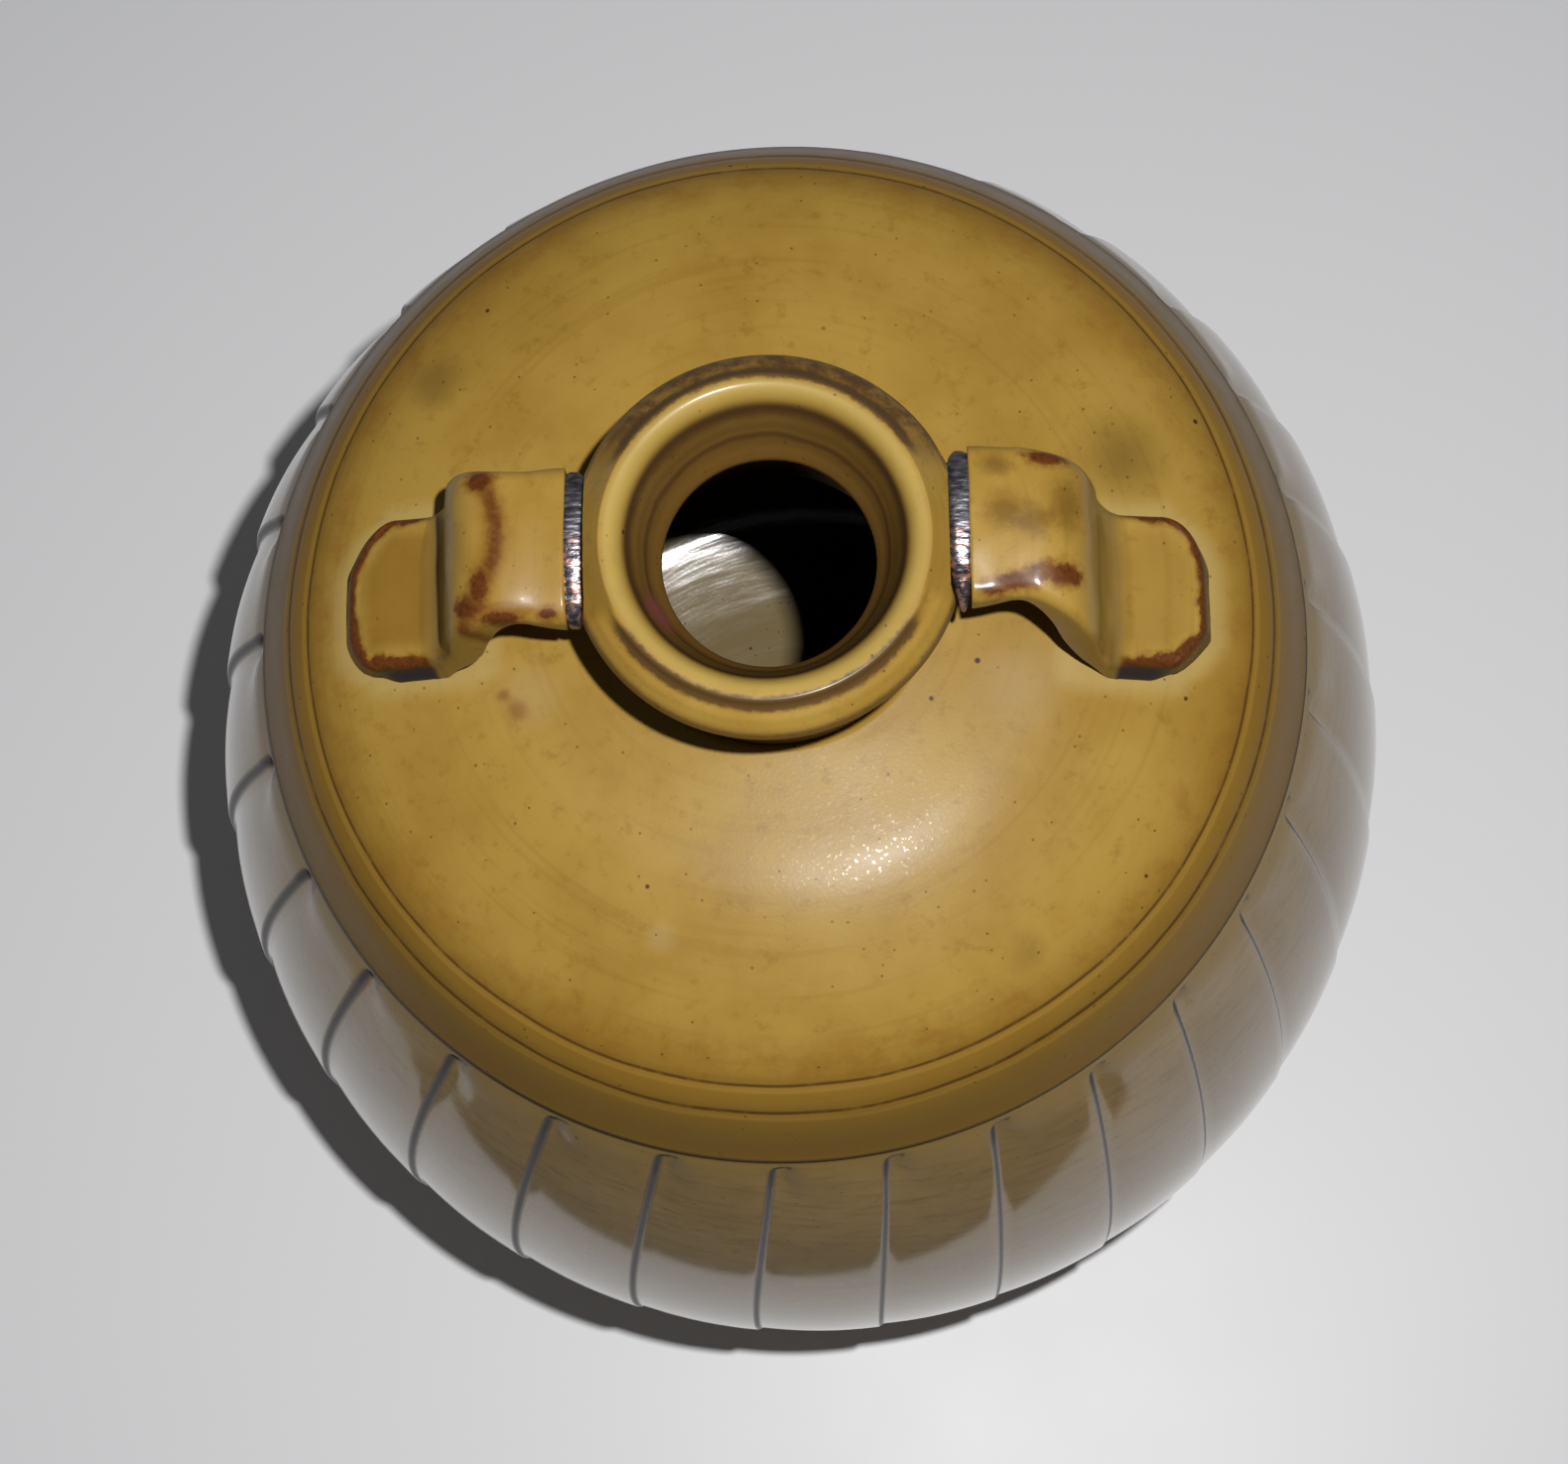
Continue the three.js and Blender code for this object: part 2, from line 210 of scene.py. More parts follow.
class Graph:
    """The node graph of one material."""

    def __init__(self, name: str) -> None:
        """Makes an empty material with that name."""
        self.material = bpy.data.materials.new(name)
        self.material.use_nodes = True
        self.tree = self.material.node_tree
        self.tree.nodes.clear()

    def node(
        self,
        kind: str,
        settings: dict[str, Any] | None = None,
        inputs: dict[str | int, Any] | None = None,
        output: str | int = 0,
    ) -> Wire:
        """Adds a node.

        Args:
            kind: The node's type.
            settings: What is set on the node first.
            inputs: The value or the link of each socket that isn't left alone.
            output: The output that is wanted.

        Returns:
            That output.
        """
        made = self.tree.nodes.new(kind)
        for name, value in (settings or {}).items():
            setattr(made, name, value)
        for key, value in (inputs or {}).items():
            socket = made.inputs[key]
            if isinstance(value, Wire):
                self.tree.links.new(value.socket, socket)
            elif socket.type == "RGBA":
                socket.default_value = (*value, 1.0)
            else:
                socket.default_value = value
        return Wire(self, made.outputs[output])

    def math(self, operation: str, *values: Value) -> Wire:
        """Adds a Math node.

        Args:
            operation: The operation.
            values: What it works on.

        Returns:
            Its result.
        """
        return self.node("ShaderNodeMath", {"operation": operation}, dict(enumerate(values)))

    def vector(self, operation: str, inputs: dict[str | int, Any], output: str = "Vector") -> Wire:
        """Adds a Vector Math node.

        Args:
            operation: The operation.
            inputs: Its inputs.
            output: The output that is wanted.

        Returns:
            That output.
        """
        return self.node("ShaderNodeVectorMath", {"operation": operation}, inputs, output)

    def ease(self, low: float, high: float, value: Wire, top: Value = 1.0) -> Wire:
        """Eases a value from 0 at one edge to a top value at the other.

        Args:
            low: The value that gives 0. It may be the larger of the two.
            high: The value that gives the top.
            value: The value to ease.
            top: What it rises to.

        Returns:
            The eased value.
        """
        return self.node(
            "ShaderNodeMapRange",
            {"interpolation_type": "SMOOTHSTEP"},
            {"Value": value, "From Min": low, "From Max": high, "To Max": top},
        )

    def mix(self, share: Value, first: Paint, second: Paint) -> Wire:
        """Mixes two colours.

        Args:
            share: How much of the second one is taken.
            first: The colour at 0.
            second: The colour at 1.

        Returns:
            The mixed colour.
        """
        settings = {"data_type": "RGBA", "clamp_factor": True}
        return self.node("ShaderNodeMix", settings, {0: share, 6: first, 7: second}, 2)

    def cloud(self, where: Wire, size: float, detail: float = 3.0, roughness: float = 0.55) -> Wire:
        """Adds noise.

        Args:
            where: The place, in millimetres.
            size: The size of its patches, in millimetres.
            detail: How many finer layers it has.
            roughness: How strong those are.

        Returns:
            The noise, from 0 to 1 about 0.5.
        """
        inputs = {"Vector": where, "Scale": 1.0 / size, "Detail": detail, "Roughness": roughness}
        return self.node("ShaderNodeTexNoise", {}, inputs, "Fac")

    def bump(self, height: Wire, depth: float) -> Wire:
        """Adds a bump.

        Args:
            height: The relief, from 0 to 1.
            depth: What 1 stands for, in millimetres.

        Returns:
            The bent normal.
        """
        inputs = {"Height": height, "Distance": depth * METRES, "Strength": 1.0}
        return self.node("ShaderNodeBump", {}, inputs, "Normal")

    def attribute(self, name: str) -> Wire:
        """Reads a number that the mesh holds at each of its points."""
        return self.node("ShaderNodeAttribute", {"attribute_name": name}, {}, "Fac")

    def finish(self, inputs: dict[str, Any]) -> bpy.types.Material:
        """Closes the graph with a surface.

        Args:
            inputs: The inputs of its shader.

        Returns:
            The finished material.
        """
        shader = self.node("ShaderNodeBsdfPrincipled", {}, inputs, "BSDF")
        end = self.tree.nodes.new("ShaderNodeOutputMaterial")
        self.tree.links.new(shader.socket, end.inputs["Surface"])
        return self.material


class Place:
    """Where a shader stands on the vase, in millimetres."""

    def __init__(self, graph: Graph) -> None:
        """Adds the nodes that read the place."""
        self.graph = graph
        here = graph.node("ShaderNodeTexCoord", {}, {}, "Object")
        self.point = graph.vector("SCALE", {0: here, "Scale": MILLIMETRES})
        flat = graph.vector("MULTIPLY", {0: self.point, 1: (1.0, 1.0, 0.0)})
        self.radius = graph.vector("LENGTH", {0: flat}, "Value")
        self.x = graph.node("ShaderNodeSeparateXYZ", {}, {0: self.point}, "X")
        self.y = graph.node("ShaderNodeSeparateXYZ", {}, {0: self.point}, "Y")
        self.z = graph.node("ShaderNodeSeparateXYZ", {}, {0: self.point}, "Z")

    def near(self, centre: Sequence[float], radius: float, soft: float, warp: Wire | None = None) -> Wire:
        """Marks a round spot.

        Args:
            centre: The middle of the spot.
            radius: Its radius.
            soft: How far its edge fades.
            warp: A value that is added to the distance, for an uneven edge.

        Returns:
            1 inside the spot and 0 outside.
        """
        distance = self.graph.vector("DISTANCE", {0: self.point, 1: tuple(centre)}, "Value")
        if warp is not None:
            distance = distance + warp
        return self.graph.ease(radius + soft, max(0.0, radius - soft), distance)

    def ring(self, radius: float, width: float, wander: Wire | None = None) -> Wire:
        """Marks a ring about the wheel's axis.

        Args:
            radius: The radius of the ring.
            width: Half its width, over which it fades.
            wander: A value that is added to the radius.

        Returns:
            1 on the ring and 0 off it.
        """
        reach = self.radius if wander is None else self.radius + wander
        offset = self.graph.math("ABSOLUTE", reach - radius)
        return self.graph.ease(width, 0.0, offset)


@dataclass(frozen=True)
class Finish:
    """The finish of a piece, from which its material is made."""

    name: str
    slot: Slot

    def material(self) -> bpy.types.Material:
        """Makes the material."""
        raise NotImplementedError


@dataclass(frozen=True)
class AshGlaze(Finish):
    """A glossy ochre ash glaze with iron specks. Its kinds add what the glaze does on their piece."""

    pale: Colour = (0.3, 0.185, 0.034)
    middle: Colour = (0.258, 0.15, 0.024)
    deep: Colour = (0.18, 0.092, 0.011)
    brown: Colour = (0.1, 0.045, 0.011)
    rust: Colour = (0.1, 0.027, 0.004)
    fading: Colour = (0.17, 0.07, 0.01)
    iron: Colour = (0.035, 0.014, 0.003)
    patch_size: float = 18.0
    speck_spacing: float = 5.2
    fine_spacing: float = 5.2 / 2.9
    gloss: float = 0.29
    gloss_change: float = 0.14
    refraction: float = 1.25
    coat: float = 0.01
    sparkle: float = 0.3
    coat_gloss: float = 0.2
    pimple_depth: float = 0.018

    def material(self) -> bpy.types.Material:
        """Makes the glaze's material."""
        graph = Graph(self.name)
        place = Place(graph)
        colour = self.specks(graph, place, self.tint(graph, place, self.ground(graph, place)))
        fine = graph.cloud(place.point, 0.45, 2.0)
        broad = graph.cloud(place.point, 3.2, 3.0)
        normal = graph.bump(self.relief(graph, place, 0.5 * broad + 0.5 * fine), self.pimple_depth)
        inputs = {
            "Base Color": colour,
            "Roughness": self.sheen(graph, place) + self.gloss_change * graph.cloud(place.point, 4.5, 4.0),
            "IOR": self.refraction,
            "Coat Weight": self.coat + graph.ease(0.6, 0.72, fine, self.sparkle),
            "Coat Roughness": self.coat_gloss,
            "Normal": normal,
        }
        return graph.finish(inputs)

    def ground(self, graph: Graph, place: Place) -> Wire:
        """Mottles the plain glaze.

        Args:
            graph: The graph of the material.
            place: The place on the vase.

        Returns:
            The mottled colour.
        """
        broad = graph.cloud(place.point, self.patch_size, 4.0)
        colour = graph.mix(graph.ease(0.36, 0.64, broad), self.middle, self.pale)
        along = {0: place.radius * 1.4, 1: place.z * 0.7, 2: place.x * 0.05}
        thrown = graph.node("ShaderNodeCombineXYZ", {}, along)
        colour = graph.mix(graph.ease(0.5, 0.72, graph.cloud(thrown, 1.6, 3.0), 0.22), colour, self.deep)
        cloudy = graph.cloud(place.point, 2.2, 5.0, 0.7)
        colour = graph.mix(graph.ease(0.42, 0.2, cloudy, 0.35), colour, self.pale)
        return graph.mix(graph.ease(0.52, 0.75, cloudy, 0.5), colour, self.deep)

    def tint(self, graph: Graph, place: Place, colour: Wire) -> Wire:
        """Adds what the glaze does on one piece. The plain glaze adds nothing."""
        return colour

    def sheen(self, graph: Graph, place: Place) -> Value:
        """Gives the roughness, which is even on the plain glaze."""
        return self.gloss

    def relief(self, graph: Graph, place: Place, pimples: Wire) -> Wire:
        """Gives the fine relief, which is only pimples on the plain glaze."""
        return pimples

    def specks(self, graph: Graph, place: Place, colour: Wire) -> Wire:
        """Adds the iron specks, a few large ones and many faint ones.

        Args:
            graph: The graph of the material.
            place: The place on the vase.
            colour: The colour below them.

        Returns:
            The colour with specks.
        """
        for spacing, radius, share, strength in (
            (self.speck_spacing, 0.28, 0.2, 0.9),
            (self.fine_spacing, 0.18, 0.45, 0.6),
        ):
            inputs = {"Vector": place.point, "Scale": 1.0 / spacing}
            distance = graph.node("ShaderNodeTexVoronoi", {}, inputs, "Distance") * spacing
            chance = graph.node("ShaderNodeTexVoronoi", {}, inputs, "Color")
            kept = graph.node("ShaderNodeSeparateColor", {}, {0: chance}, "Red")
            dot = graph.ease(radius * 1.3, radius * 0.5, distance)
            mask = dot * graph.ease(share + 0.02, share - 0.02, kept, strength)
            colour = graph.mix(mask, colour, self.iron)
        return colour


@dataclass(frozen=True)
class ShoulderGlaze(AshGlaze):
    """The glaze on the shoulder: brown in the thrown lines, and pale round the tabs."""

    lines: tuple[float, ...] = (56.0, 58.8)
    line_width: float = 0.3
    edge_radius: float = 58.0
    smudge_height: float = 155.5
    rust_height: float = 158.5
    toasted: Colour = (0.2, 0.085, 0.013)
    turned: Colour = (0.13, 0.075, 0.014)
    line: Colour = (0.05, 0.022, 0.006)
    halo: Colour = (0.38, 0.285, 0.11)
    flush: Colour = (0.34, 0.25, 0.12)
    smudge: Colour = (0.11, 0.064, 0.011)
    rusty: Colour = (0.14, 0.052, 0.009)
    smudges: tuple[Spot, ...] = ((40.8, 16.4, 4.2), (-40.6, 28.9, 3.0), (28.6, -42.2, 2.0))
    flushes: tuple[Spot, ...] = ((28.0, -11.5, 4.4), (-28.5, -11.0, 3.0), (-13.8, -39.5, 1.6))
    rusts: tuple[Spot, ...] = ((19.6, -7.4, 1.1), (-30.0, -13.0, 1.2), (-31.5, -11.2, 0.8))
    marks: tuple[Spot, ...] = (
        (50.1, 22.0, 0.75), (18.9, 34.4, 0.6), (-34.2, 37.6, 0.6), (-8.0, -36.8, 0.6),
        (17.8, -13.0, 0.7), (10.6, 38.5, 0.5), (42.1, -32.8, 0.5), (37.8, -12.7, 0.5),
        (32.5, 19.0, 0.5), (23.2, -8.6, 0.8), (-30.3, -25.9, 0.55), (-34.9, -19.0, 0.7),
    )

    def tint(self, graph: Graph, place: Place, colour: Wire) -> Wire:
        """Adds the edge and its lines, and then the halo of the tabs, flushes, smudges and marks."""
        colour = self.turned_edge(graph, place, colour)
        colour = graph.mix(graph.attribute("halo") * 0.5, colour, self.halo)
        warp = 2.4 * graph.cloud(place.point, 4.0, 3.0) - 1.2
        for x, y, radius in self.flushes:
            at = (x, y, Shoulder.surface(math.hypot(x, y)))
            colour = graph.mix(place.near(at, radius, radius * 0.8, warp) * 0.3, colour, self.flush)
        for x, y, radius in self.smudges:
            spot = place.near((x, y, self.smudge_height), radius, radius * 0.9, warp)
            colour = graph.mix(spot * 0.65, colour, self.smudge)
        for x, y, radius in self.rusts:
            spot = place.near((x, y, self.rust_height), radius, radius * 0.8, warp * 0.7)
            colour = graph.mix(spot * 0.75, colour, self.rusty)
        for x, y, radius in self.marks:
            at = (x, y, Shoulder.surface(math.hypot(x, y)))
            mark = place.near(at, radius * 0.42, 0.13, warp * 0.12)
            colour = graph.mix(mark * 0.95, colour, self.iron)
        return colour

    def turned_edge(self, graph: Graph, place: Place, colour: Wire) -> Wire:
        """Browns the glaze towards the edge of the dome, and darkens the thrown lines.

        Args:
            graph: The graph of the material.
            place: The place on the vase.
            colour: The colour below.

        Returns:
            The colour with the edge and its lines.
        """
        wander = 0.5 * graph.cloud(place.point, 16.0, 2.0) - 0.25
        patchy = graph.cloud(place.point, 5.0, 5.0, 0.7)
        inner = graph.ease(48.0, self.lines[0] - 0.4, place.radius) * graph.ease(0.42, 0.7, patchy)
        outside = graph.ease(self.lines[0] + 0.2, self.lines[0] - 0.2, place.radius)
        colour = graph.mix(inner * outside * 0.65, colour, self.toasted)
        colour = graph.mix(graph.ease(50.0, self.edge_radius, place.radius, 0.75), colour, self.deep)
        colour = graph.mix(graph.ease(57.0, 64.0, place.radius, 0.55), colour, self.turned)
        broken = graph.ease(0.2, 0.5, graph.cloud(place.point, 2.6, 4.0), 0.55) + 0.35
        for radius in self.lines:
            colour = graph.mix(place.ring(radius + 0.7, 0.3, wander) * 0.35, colour, self.pale)
            colour = graph.mix(place.ring(radius, self.line_width, wander) * broken, colour, self.line)
        return colour


@dataclass(frozen=True)
class BodyGlaze(AshGlaze):
    """The glaze on the carved body: grey where it pools in the steps, and dark and glassy inside."""

    pale: Colour = (0.27, 0.178, 0.066)
    middle: Colour = (0.23, 0.148, 0.05)
    deep: Colour = (0.16, 0.095, 0.028)
    gloss: float = 0.07
    gloss_change: float = 0.06
    refraction: float = 1.55
    coat: float = 0.0
    pimple_depth: float = 0.008
    pooled: Colour = (0.035, 0.037, 0.047)
    hidden: Colour = (0.2, 0.145, 0.065)
    upper: Colour = (0.235, 0.145, 0.03)

    def sheen(self, graph: Graph, place: Place) -> Value:
        """Gives the roughness, which is higher in the pooled steps, under the joint and inside."""
        under = graph.ease(129.0, 134.5, place.z, 0.3)
        return self.gloss + 0.4 * graph.attribute("pool") + 0.03 * graph.attribute("inside") + under

    def relief(self, graph: Graph, place: Place, pimples: Wire) -> Wire:
        """Adds the streaks of the inside, which follow the potter's fingers round the floor."""
        round_floor = {0: place.radius * 1.6, 1: place.x * 0.25, 2: place.y * 0.25}
        turned = graph.node("ShaderNodeCombineXYZ", {}, round_floor)
        streaks = graph.cloud(turned, 6.0, 3.0, 0.5)
        return pimples + streaks * graph.attribute("inside") * 12.0

    def tint(self, graph: Graph, place: Place, colour: Wire) -> Wire:
        """Adds the streaks, the pooled steps, the inside and the brown at the foot."""
        drawn = graph.vector("MULTIPLY", {0: place.point, 1: (0.3, 0.3, 1.6)})
        streak = graph.cloud(drawn, 1.6, 5.0, 0.6)
        colour = graph.mix(graph.ease(0.45, 0.75, streak, 0.6), colour, self.deep)
        colour = graph.mix(graph.ease(128.0, 138.0, place.z, 0.75), colour, self.upper)
        colour = graph.mix(graph.attribute("pool") * 0.95, colour, self.pooled)
        colour = graph.mix(graph.ease(18.0, 9.0, place.z, 0.8), colour, self.brown)
        return graph.mix(graph.attribute("inside"), colour, self.hidden)


@dataclass(frozen=True)
class CollarGlaze(AshGlaze):
    """The glaze on the collar: dark in its groove and in the rings of the funnel."""

    gloss: float = 0.36
    coat: float = 0.15
    coat_gloss: float = 0.2
    groove: Colour = (0.055, 0.026, 0.01)
    crest: Colour = (0.4, 0.3, 0.085)
    # The colour of the lip's far side: partly painted shade, partly darker glaze.
    back: Colour = (0.06, 0.03, 0.011)
    red: Colour = (0.2, 0.06, 0.045)
    red_at: Spot = (-12.9, -7.4, 178.5)
    groove_radius: float = 18.75
    funnel_rings: tuple[Spot, ...] = ((15.3, 1.1, 0.95), (13.6, 0.35, 0.7), (14.2, 0.5, 0.4))

    def tint(self, graph: Graph, place: Place, colour: Wire) -> Wire:
        """Adds the pale crest, the dark bands that stop at the straps, the funnel and a red smudge."""
        wander = 0.9 * graph.cloud(place.point, 5.0, 3.0) - 0.45
        ragged = graph.cloud(place.point, 1.1, 4.0, 0.7) - 0.5
        crest = place.ring(16.9, 1.7, 0.4 * wander) * graph.ease(182.4, 183.6, place.z)
        colour = graph.mix(crest * 0.5, colour, self.crest)
        colour = self.bands(graph, place, colour, wander, ragged)
        inside = graph.ease(184.2, 182.6, place.z) * graph.ease(17.6, 16.8, place.radius)
        colour = graph.mix(inside * graph.ease(16.6, 13.2, place.radius, 0.75), colour, self.brown)
        for radius, width, strength in self.funnel_rings:
            ring = place.ring(radius, width, wander * 0.5) * inside
            colour = graph.mix(ring * strength, colour, self.groove)
        red = place.near(self.red_at, 2.6, 1.4, wander)
        return graph.mix(red * 0.9, colour, self.red)

    def bands(self, graph: Graph, place: Place, colour: Wire, wander: Wire, ragged: Wire) -> Wire:
        """Darkens the lip's edge, the groove before the crest, the back and the neck. The band on the back
        is partly painted shade, on the side turned away from the lamp, and partly darker glaze.

        Args:
            graph: The graph of the material.
            place: The place on the vase.
            colour: The colour below.
            wander: A slow unevenness, in millimetres.
            ragged: A fine one.

        Returns:
            The colour with the bands.
        """
        above = graph.ease(180.6, 181.8, place.z)
        edge = graph.ease(21.3, 21.7, place.radius + 0.3 * ragged)
        colour = graph.mix(edge * 0.75, colour, self.brown)
        away = graph.ease(7.0, 12.0, graph.math("ABSOLUTE", place.y + wander))
        groove = place.ring(self.groove_radius, 1.25, 0.5 * wander + 0.9 * ragged) * above * away
        colour = graph.mix(graph.ease(0.1, 0.75, groove, 0.85), colour, self.groove)
        # Partly painted shade, partly darker glaze: the far side of the lip, turned away from the lamp, is
        # darkened.
        far = graph.ease(2.0, 14.0, place.y)
        back = graph.ease(18.4, 19.3, place.radius + 0.5 * ragged) * far * away
        mottle = 0.6 + graph.ease(0.35, 0.6, graph.cloud(place.point, 2.6, 4.0, 0.7), 0.35)
        colour = graph.mix(back * graph.ease(178.0, 180.0, place.z) * mottle, colour, self.back)
        lower = graph.ease(179.5, 177.5, place.z) * graph.ease(17.0, 18.0, place.radius)
        return graph.mix(lower * 0.8, colour, self.brown)


@dataclass(frozen=True)
class StrapGlaze(AshGlaze):
    """The glaze on a handle: rust where it breaks over edges, and grey where it pools below them."""

    gloss: float = 0.34
    coat: float = 0.16
    coat_gloss: float = 0.14
    side: Side = Side.LEFT
    tab: float = 23.0
    # How much the tab's middle is darkened: partly painted shade, most on a tab that tilts away from the
    # lamp, and partly darker glaze.
    tab_shade: float = 0.3
    spots: tuple[Patch, ...] = ()
    olives: tuple[Patch, ...] = ()
    dark_rust: Colour = (0.045, 0.014, 0.004)
    olive: Colour = (0.12, 0.062, 0.008)
    # Painted shade in the crease where the leg meets the tab.
    painted_crease_shade: Colour = (0.1, 0.068, 0.03)
    pooled: Colour = (0.017, 0.016, 0.02)

    def patch(self, graph: Graph, at: Point, size: Point, warp: Wire, soft: float = 0.2) -> Wire:
        """Marks an uneven oval patch on the strap.

        Args:
            graph: The graph of the material.
            at: Its middle, as lengths along and across the strap.
            size: Half its length along and across.
            warp: A value that makes its edge uneven.
            soft: How soft its edge is, as a share of its size.

        Returns:
            1 inside the patch and 0 outside.
        """
        along = (graph.attribute("along") - at[0]) / size[0]
        across = (graph.attribute("across") - at[1]) / size[1]
        reach = graph.math("SQRT", along * along + across * across)
        return graph.ease(0.95 + soft, 0.95 - soft, reach + warp)

    def tint(self, graph: Graph, place: Place, colour: Wire) -> Wire:
        """Adds the breaks of the glaze on the strap and on its tab."""
        warp = 1.1 * graph.cloud(place.point, 1.3, 5.0, 0.7) - 0.55
        grain = graph.ease(0.3, 0.62, graph.cloud(place.point, 0.6, 4.0, 0.7))
        rust = graph.mix(grain, self.dark_rust, self.rust)
        if self.side is Side.LEFT:
            colour = self.break_line(graph, colour, warp, grain, rust)
        for at, size in self.olives:
            olive = self.patch(graph, at, size, warp * 1.2, 0.75)
            colour = graph.mix(olive * 0.75, colour, self.olive)
        for at, size in self.spots:
            wide = (size[0] + 0.6, size[1] + 0.5)
            colour = graph.mix(self.patch(graph, at, wide, warp * 1.5, 0.4) * 0.75, colour, self.fading)
            colour = graph.mix(self.patch(graph, at, size, warp * 1.5, 0.3) * 0.95, colour, rust)
        return self.tab_edges(graph, place, colour, warp, rust)

    def break_line(self, graph: Graph, colour: Wire, warp: Wire, grain: Wire, rust: Wire) -> Wire:
        """Adds the curved line of rust across the left strap, where the glaze breaks over its bend.

        Args:
            graph: The graph of the material.
            colour: The colour below.
            warp: A value that makes its edge uneven.
            grain: The grain of the rust, from 0 to 1.
            rust: The colour of the rust.

        Returns:
            The colour with the line.
        """
        lean = graph.attribute("across") - 2.5
        away = graph.math("ABSOLUTE", graph.attribute("along") - 7.6 - 0.045 * lean * lean - warp * 1.3)
        colour = graph.mix(graph.ease(2.4, 0.6, away, 0.7), colour, self.fading)
        colour = graph.mix(graph.ease(1.3, 0.2, away) * (0.45 + 0.5 * grain), colour, rust)
        return graph.mix(self.patch(graph, (6.4, -6.2), (3.4, 1.0), warp) * 0.55, colour, self.fading)

    def tab_edges(self, graph: Graph, place: Place, colour: Wire, warp: Wire, rust: Wire) -> Wire:
        """Adds the rust along the tab's edges, the dark glaze pooled below them, a painted shade in the
        crease where the leg meets the tab, and a darker middle of the tab that is partly painted shade and
        partly darker glaze.

        Args:
            graph: The graph of the material.
            place: The place on the vase.
            colour: The colour below.
            warp: A value that makes the edges uneven.
            rust: The colour of the rust.

        Returns:
            The colour with the edges.
        """
        along = graph.attribute("along")
        on_tab = graph.ease(self.tab - 0.5, self.tab + 1.5, along)
        near = graph.ease(0.0, -3.0, graph.attribute("across"))
        rim = graph.attribute("rim") + warp * 0.7
        outer = graph.ease(self.tab + 1.0, self.tab + 6.0, along)
        ragged = graph.ease(0.35, 0.6, graph.cloud(place.point, 3.0, 3.0))
        reach = rim - outer * (0.45 + 0.4 * ragged) - near * 0.35 * ragged
        colour = graph.mix(graph.ease(1.75, 0.9, reach) * on_tab * 0.7, colour, self.fading)
        colour = graph.mix(graph.ease(1.2, 0.75, reach) * on_tab * 0.95, colour, rust)
        # Partly painted shade, partly darker glaze: the tab's middle is darkened with the deep colour.
        colour = graph.mix(on_tab * graph.ease(1.5, 4.0, rim) * self.tab_shade, colour, self.deep)
        beyond = graph.ease(0.25, -0.15, graph.attribute("rim")) * near
        low = graph.math("MAXIMUM", graph.attribute("low"), beyond)
        colour = graph.mix(graph.ease(0.16, 0.34, low) * on_tab * 0.97, colour, self.pooled)
        # Painted shade: the crease where the leg meets the tab is darkened with a dim brown.
        painted_crease_shade = graph.ease(2.2, 0.3, graph.math("ABSOLUTE", along - self.tab + 0.8))
        return graph.mix(painted_crease_shade * 0.4, colour, self.painted_crease_shade)


@dataclass(frozen=True)
class GunmetalGlaze(Finish):
    """A thick dark glaze with a metallic skin and fine crinkles across its run, with a copper flush on its
    near half that is partly painted highlight.
    """

    dark: Colour = (0.06, 0.056, 0.065)
    bright: Colour = (0.2, 0.19, 0.215)
    # Partly the glaze's copper skin, partly painted highlight where the lamp's glints fall.
    copper: Colour = (0.75, 0.4, 0.33)
    metal: float = 0.85
    crinkle_depth: float = 0.15

    def material(self) -> bpy.types.Material:
        """Makes the glaze's material."""
        graph = Graph(self.name)
        place = Place(graph)
        squeezed = graph.vector("MULTIPLY", {0: place.point, 1: (0.5, 1.5, 1.0)})
        crinkle = graph.cloud(squeezed, 0.8, 3.0, 0.5)
        colour = graph.mix(graph.ease(0.35, 0.7, crinkle), self.dark, self.bright)
        # Partly painted highlight: the copper flush is kept to the near half of the bead, where the lamp's
        # glints fall.
        flush = graph.ease(0.48, 0.6, graph.cloud(place.point, 0.9, 2.0), 0.8)
        near = graph.ease(3.0, -1.0, place.y) * graph.ease(-9.0, -6.0, place.y)
        colour = graph.mix(flush * near, colour, self.copper)
        inputs = {
            "Base Color": colour,
            "Metallic": self.metal,
            "Roughness": 0.42 - 0.22 * near + 0.12 * graph.cloud(place.point, 0.8, 3.0),
            "Normal": graph.bump(crinkle, self.crinkle_depth),
        }
        return graph.finish(inputs)


@dataclass(frozen=True)
class BareClay(Finish):
    """Toasted stoneware without glaze, with fine grit and turning lines."""

    clay: Colour = (0.36, 0.21, 0.12)
    toasted: Colour = (0.24, 0.11, 0.05)
    grit: Colour = (0.09, 0.055, 0.035)
    grit_depth: float = 0.12

    def material(self) -> bpy.types.Material:
        """Makes the clay's material."""
        graph = Graph(self.name)
        place = Place(graph)
        patches = graph.cloud(place.point, 9.0, 4.0)
        colour = graph.mix(graph.ease(0.35, 0.68, patches), self.clay, self.toasted)
        grain = graph.cloud(place.point, 0.5, 3.0, 0.7)
        colour = graph.mix(graph.ease(0.62, 0.75, grain, 0.7), colour, self.grit)
        inputs = {
            "Base Color": colour,
            "Roughness": 0.78 + 0.15 * grain,
            "Normal": graph.bump(grain, self.grit_depth),
        }
        return graph.finish(inputs)


@dataclass(frozen=True)
class Tabletop:
    """A plain, slightly glossy surface of the studio."""

    name: str
    colour: Colour
    refraction: float

    def material(self) -> bpy.types.Material:
        """Makes the surface's material."""
        graph = Graph(self.name)
        soft = graph.cloud(Place(graph).point, 30.0, 3.0)
        rough = 0.34 + 0.08 * soft
        return graph.finish({"Base Color": self.colour, "Roughness": rough, "IOR": self.refraction})


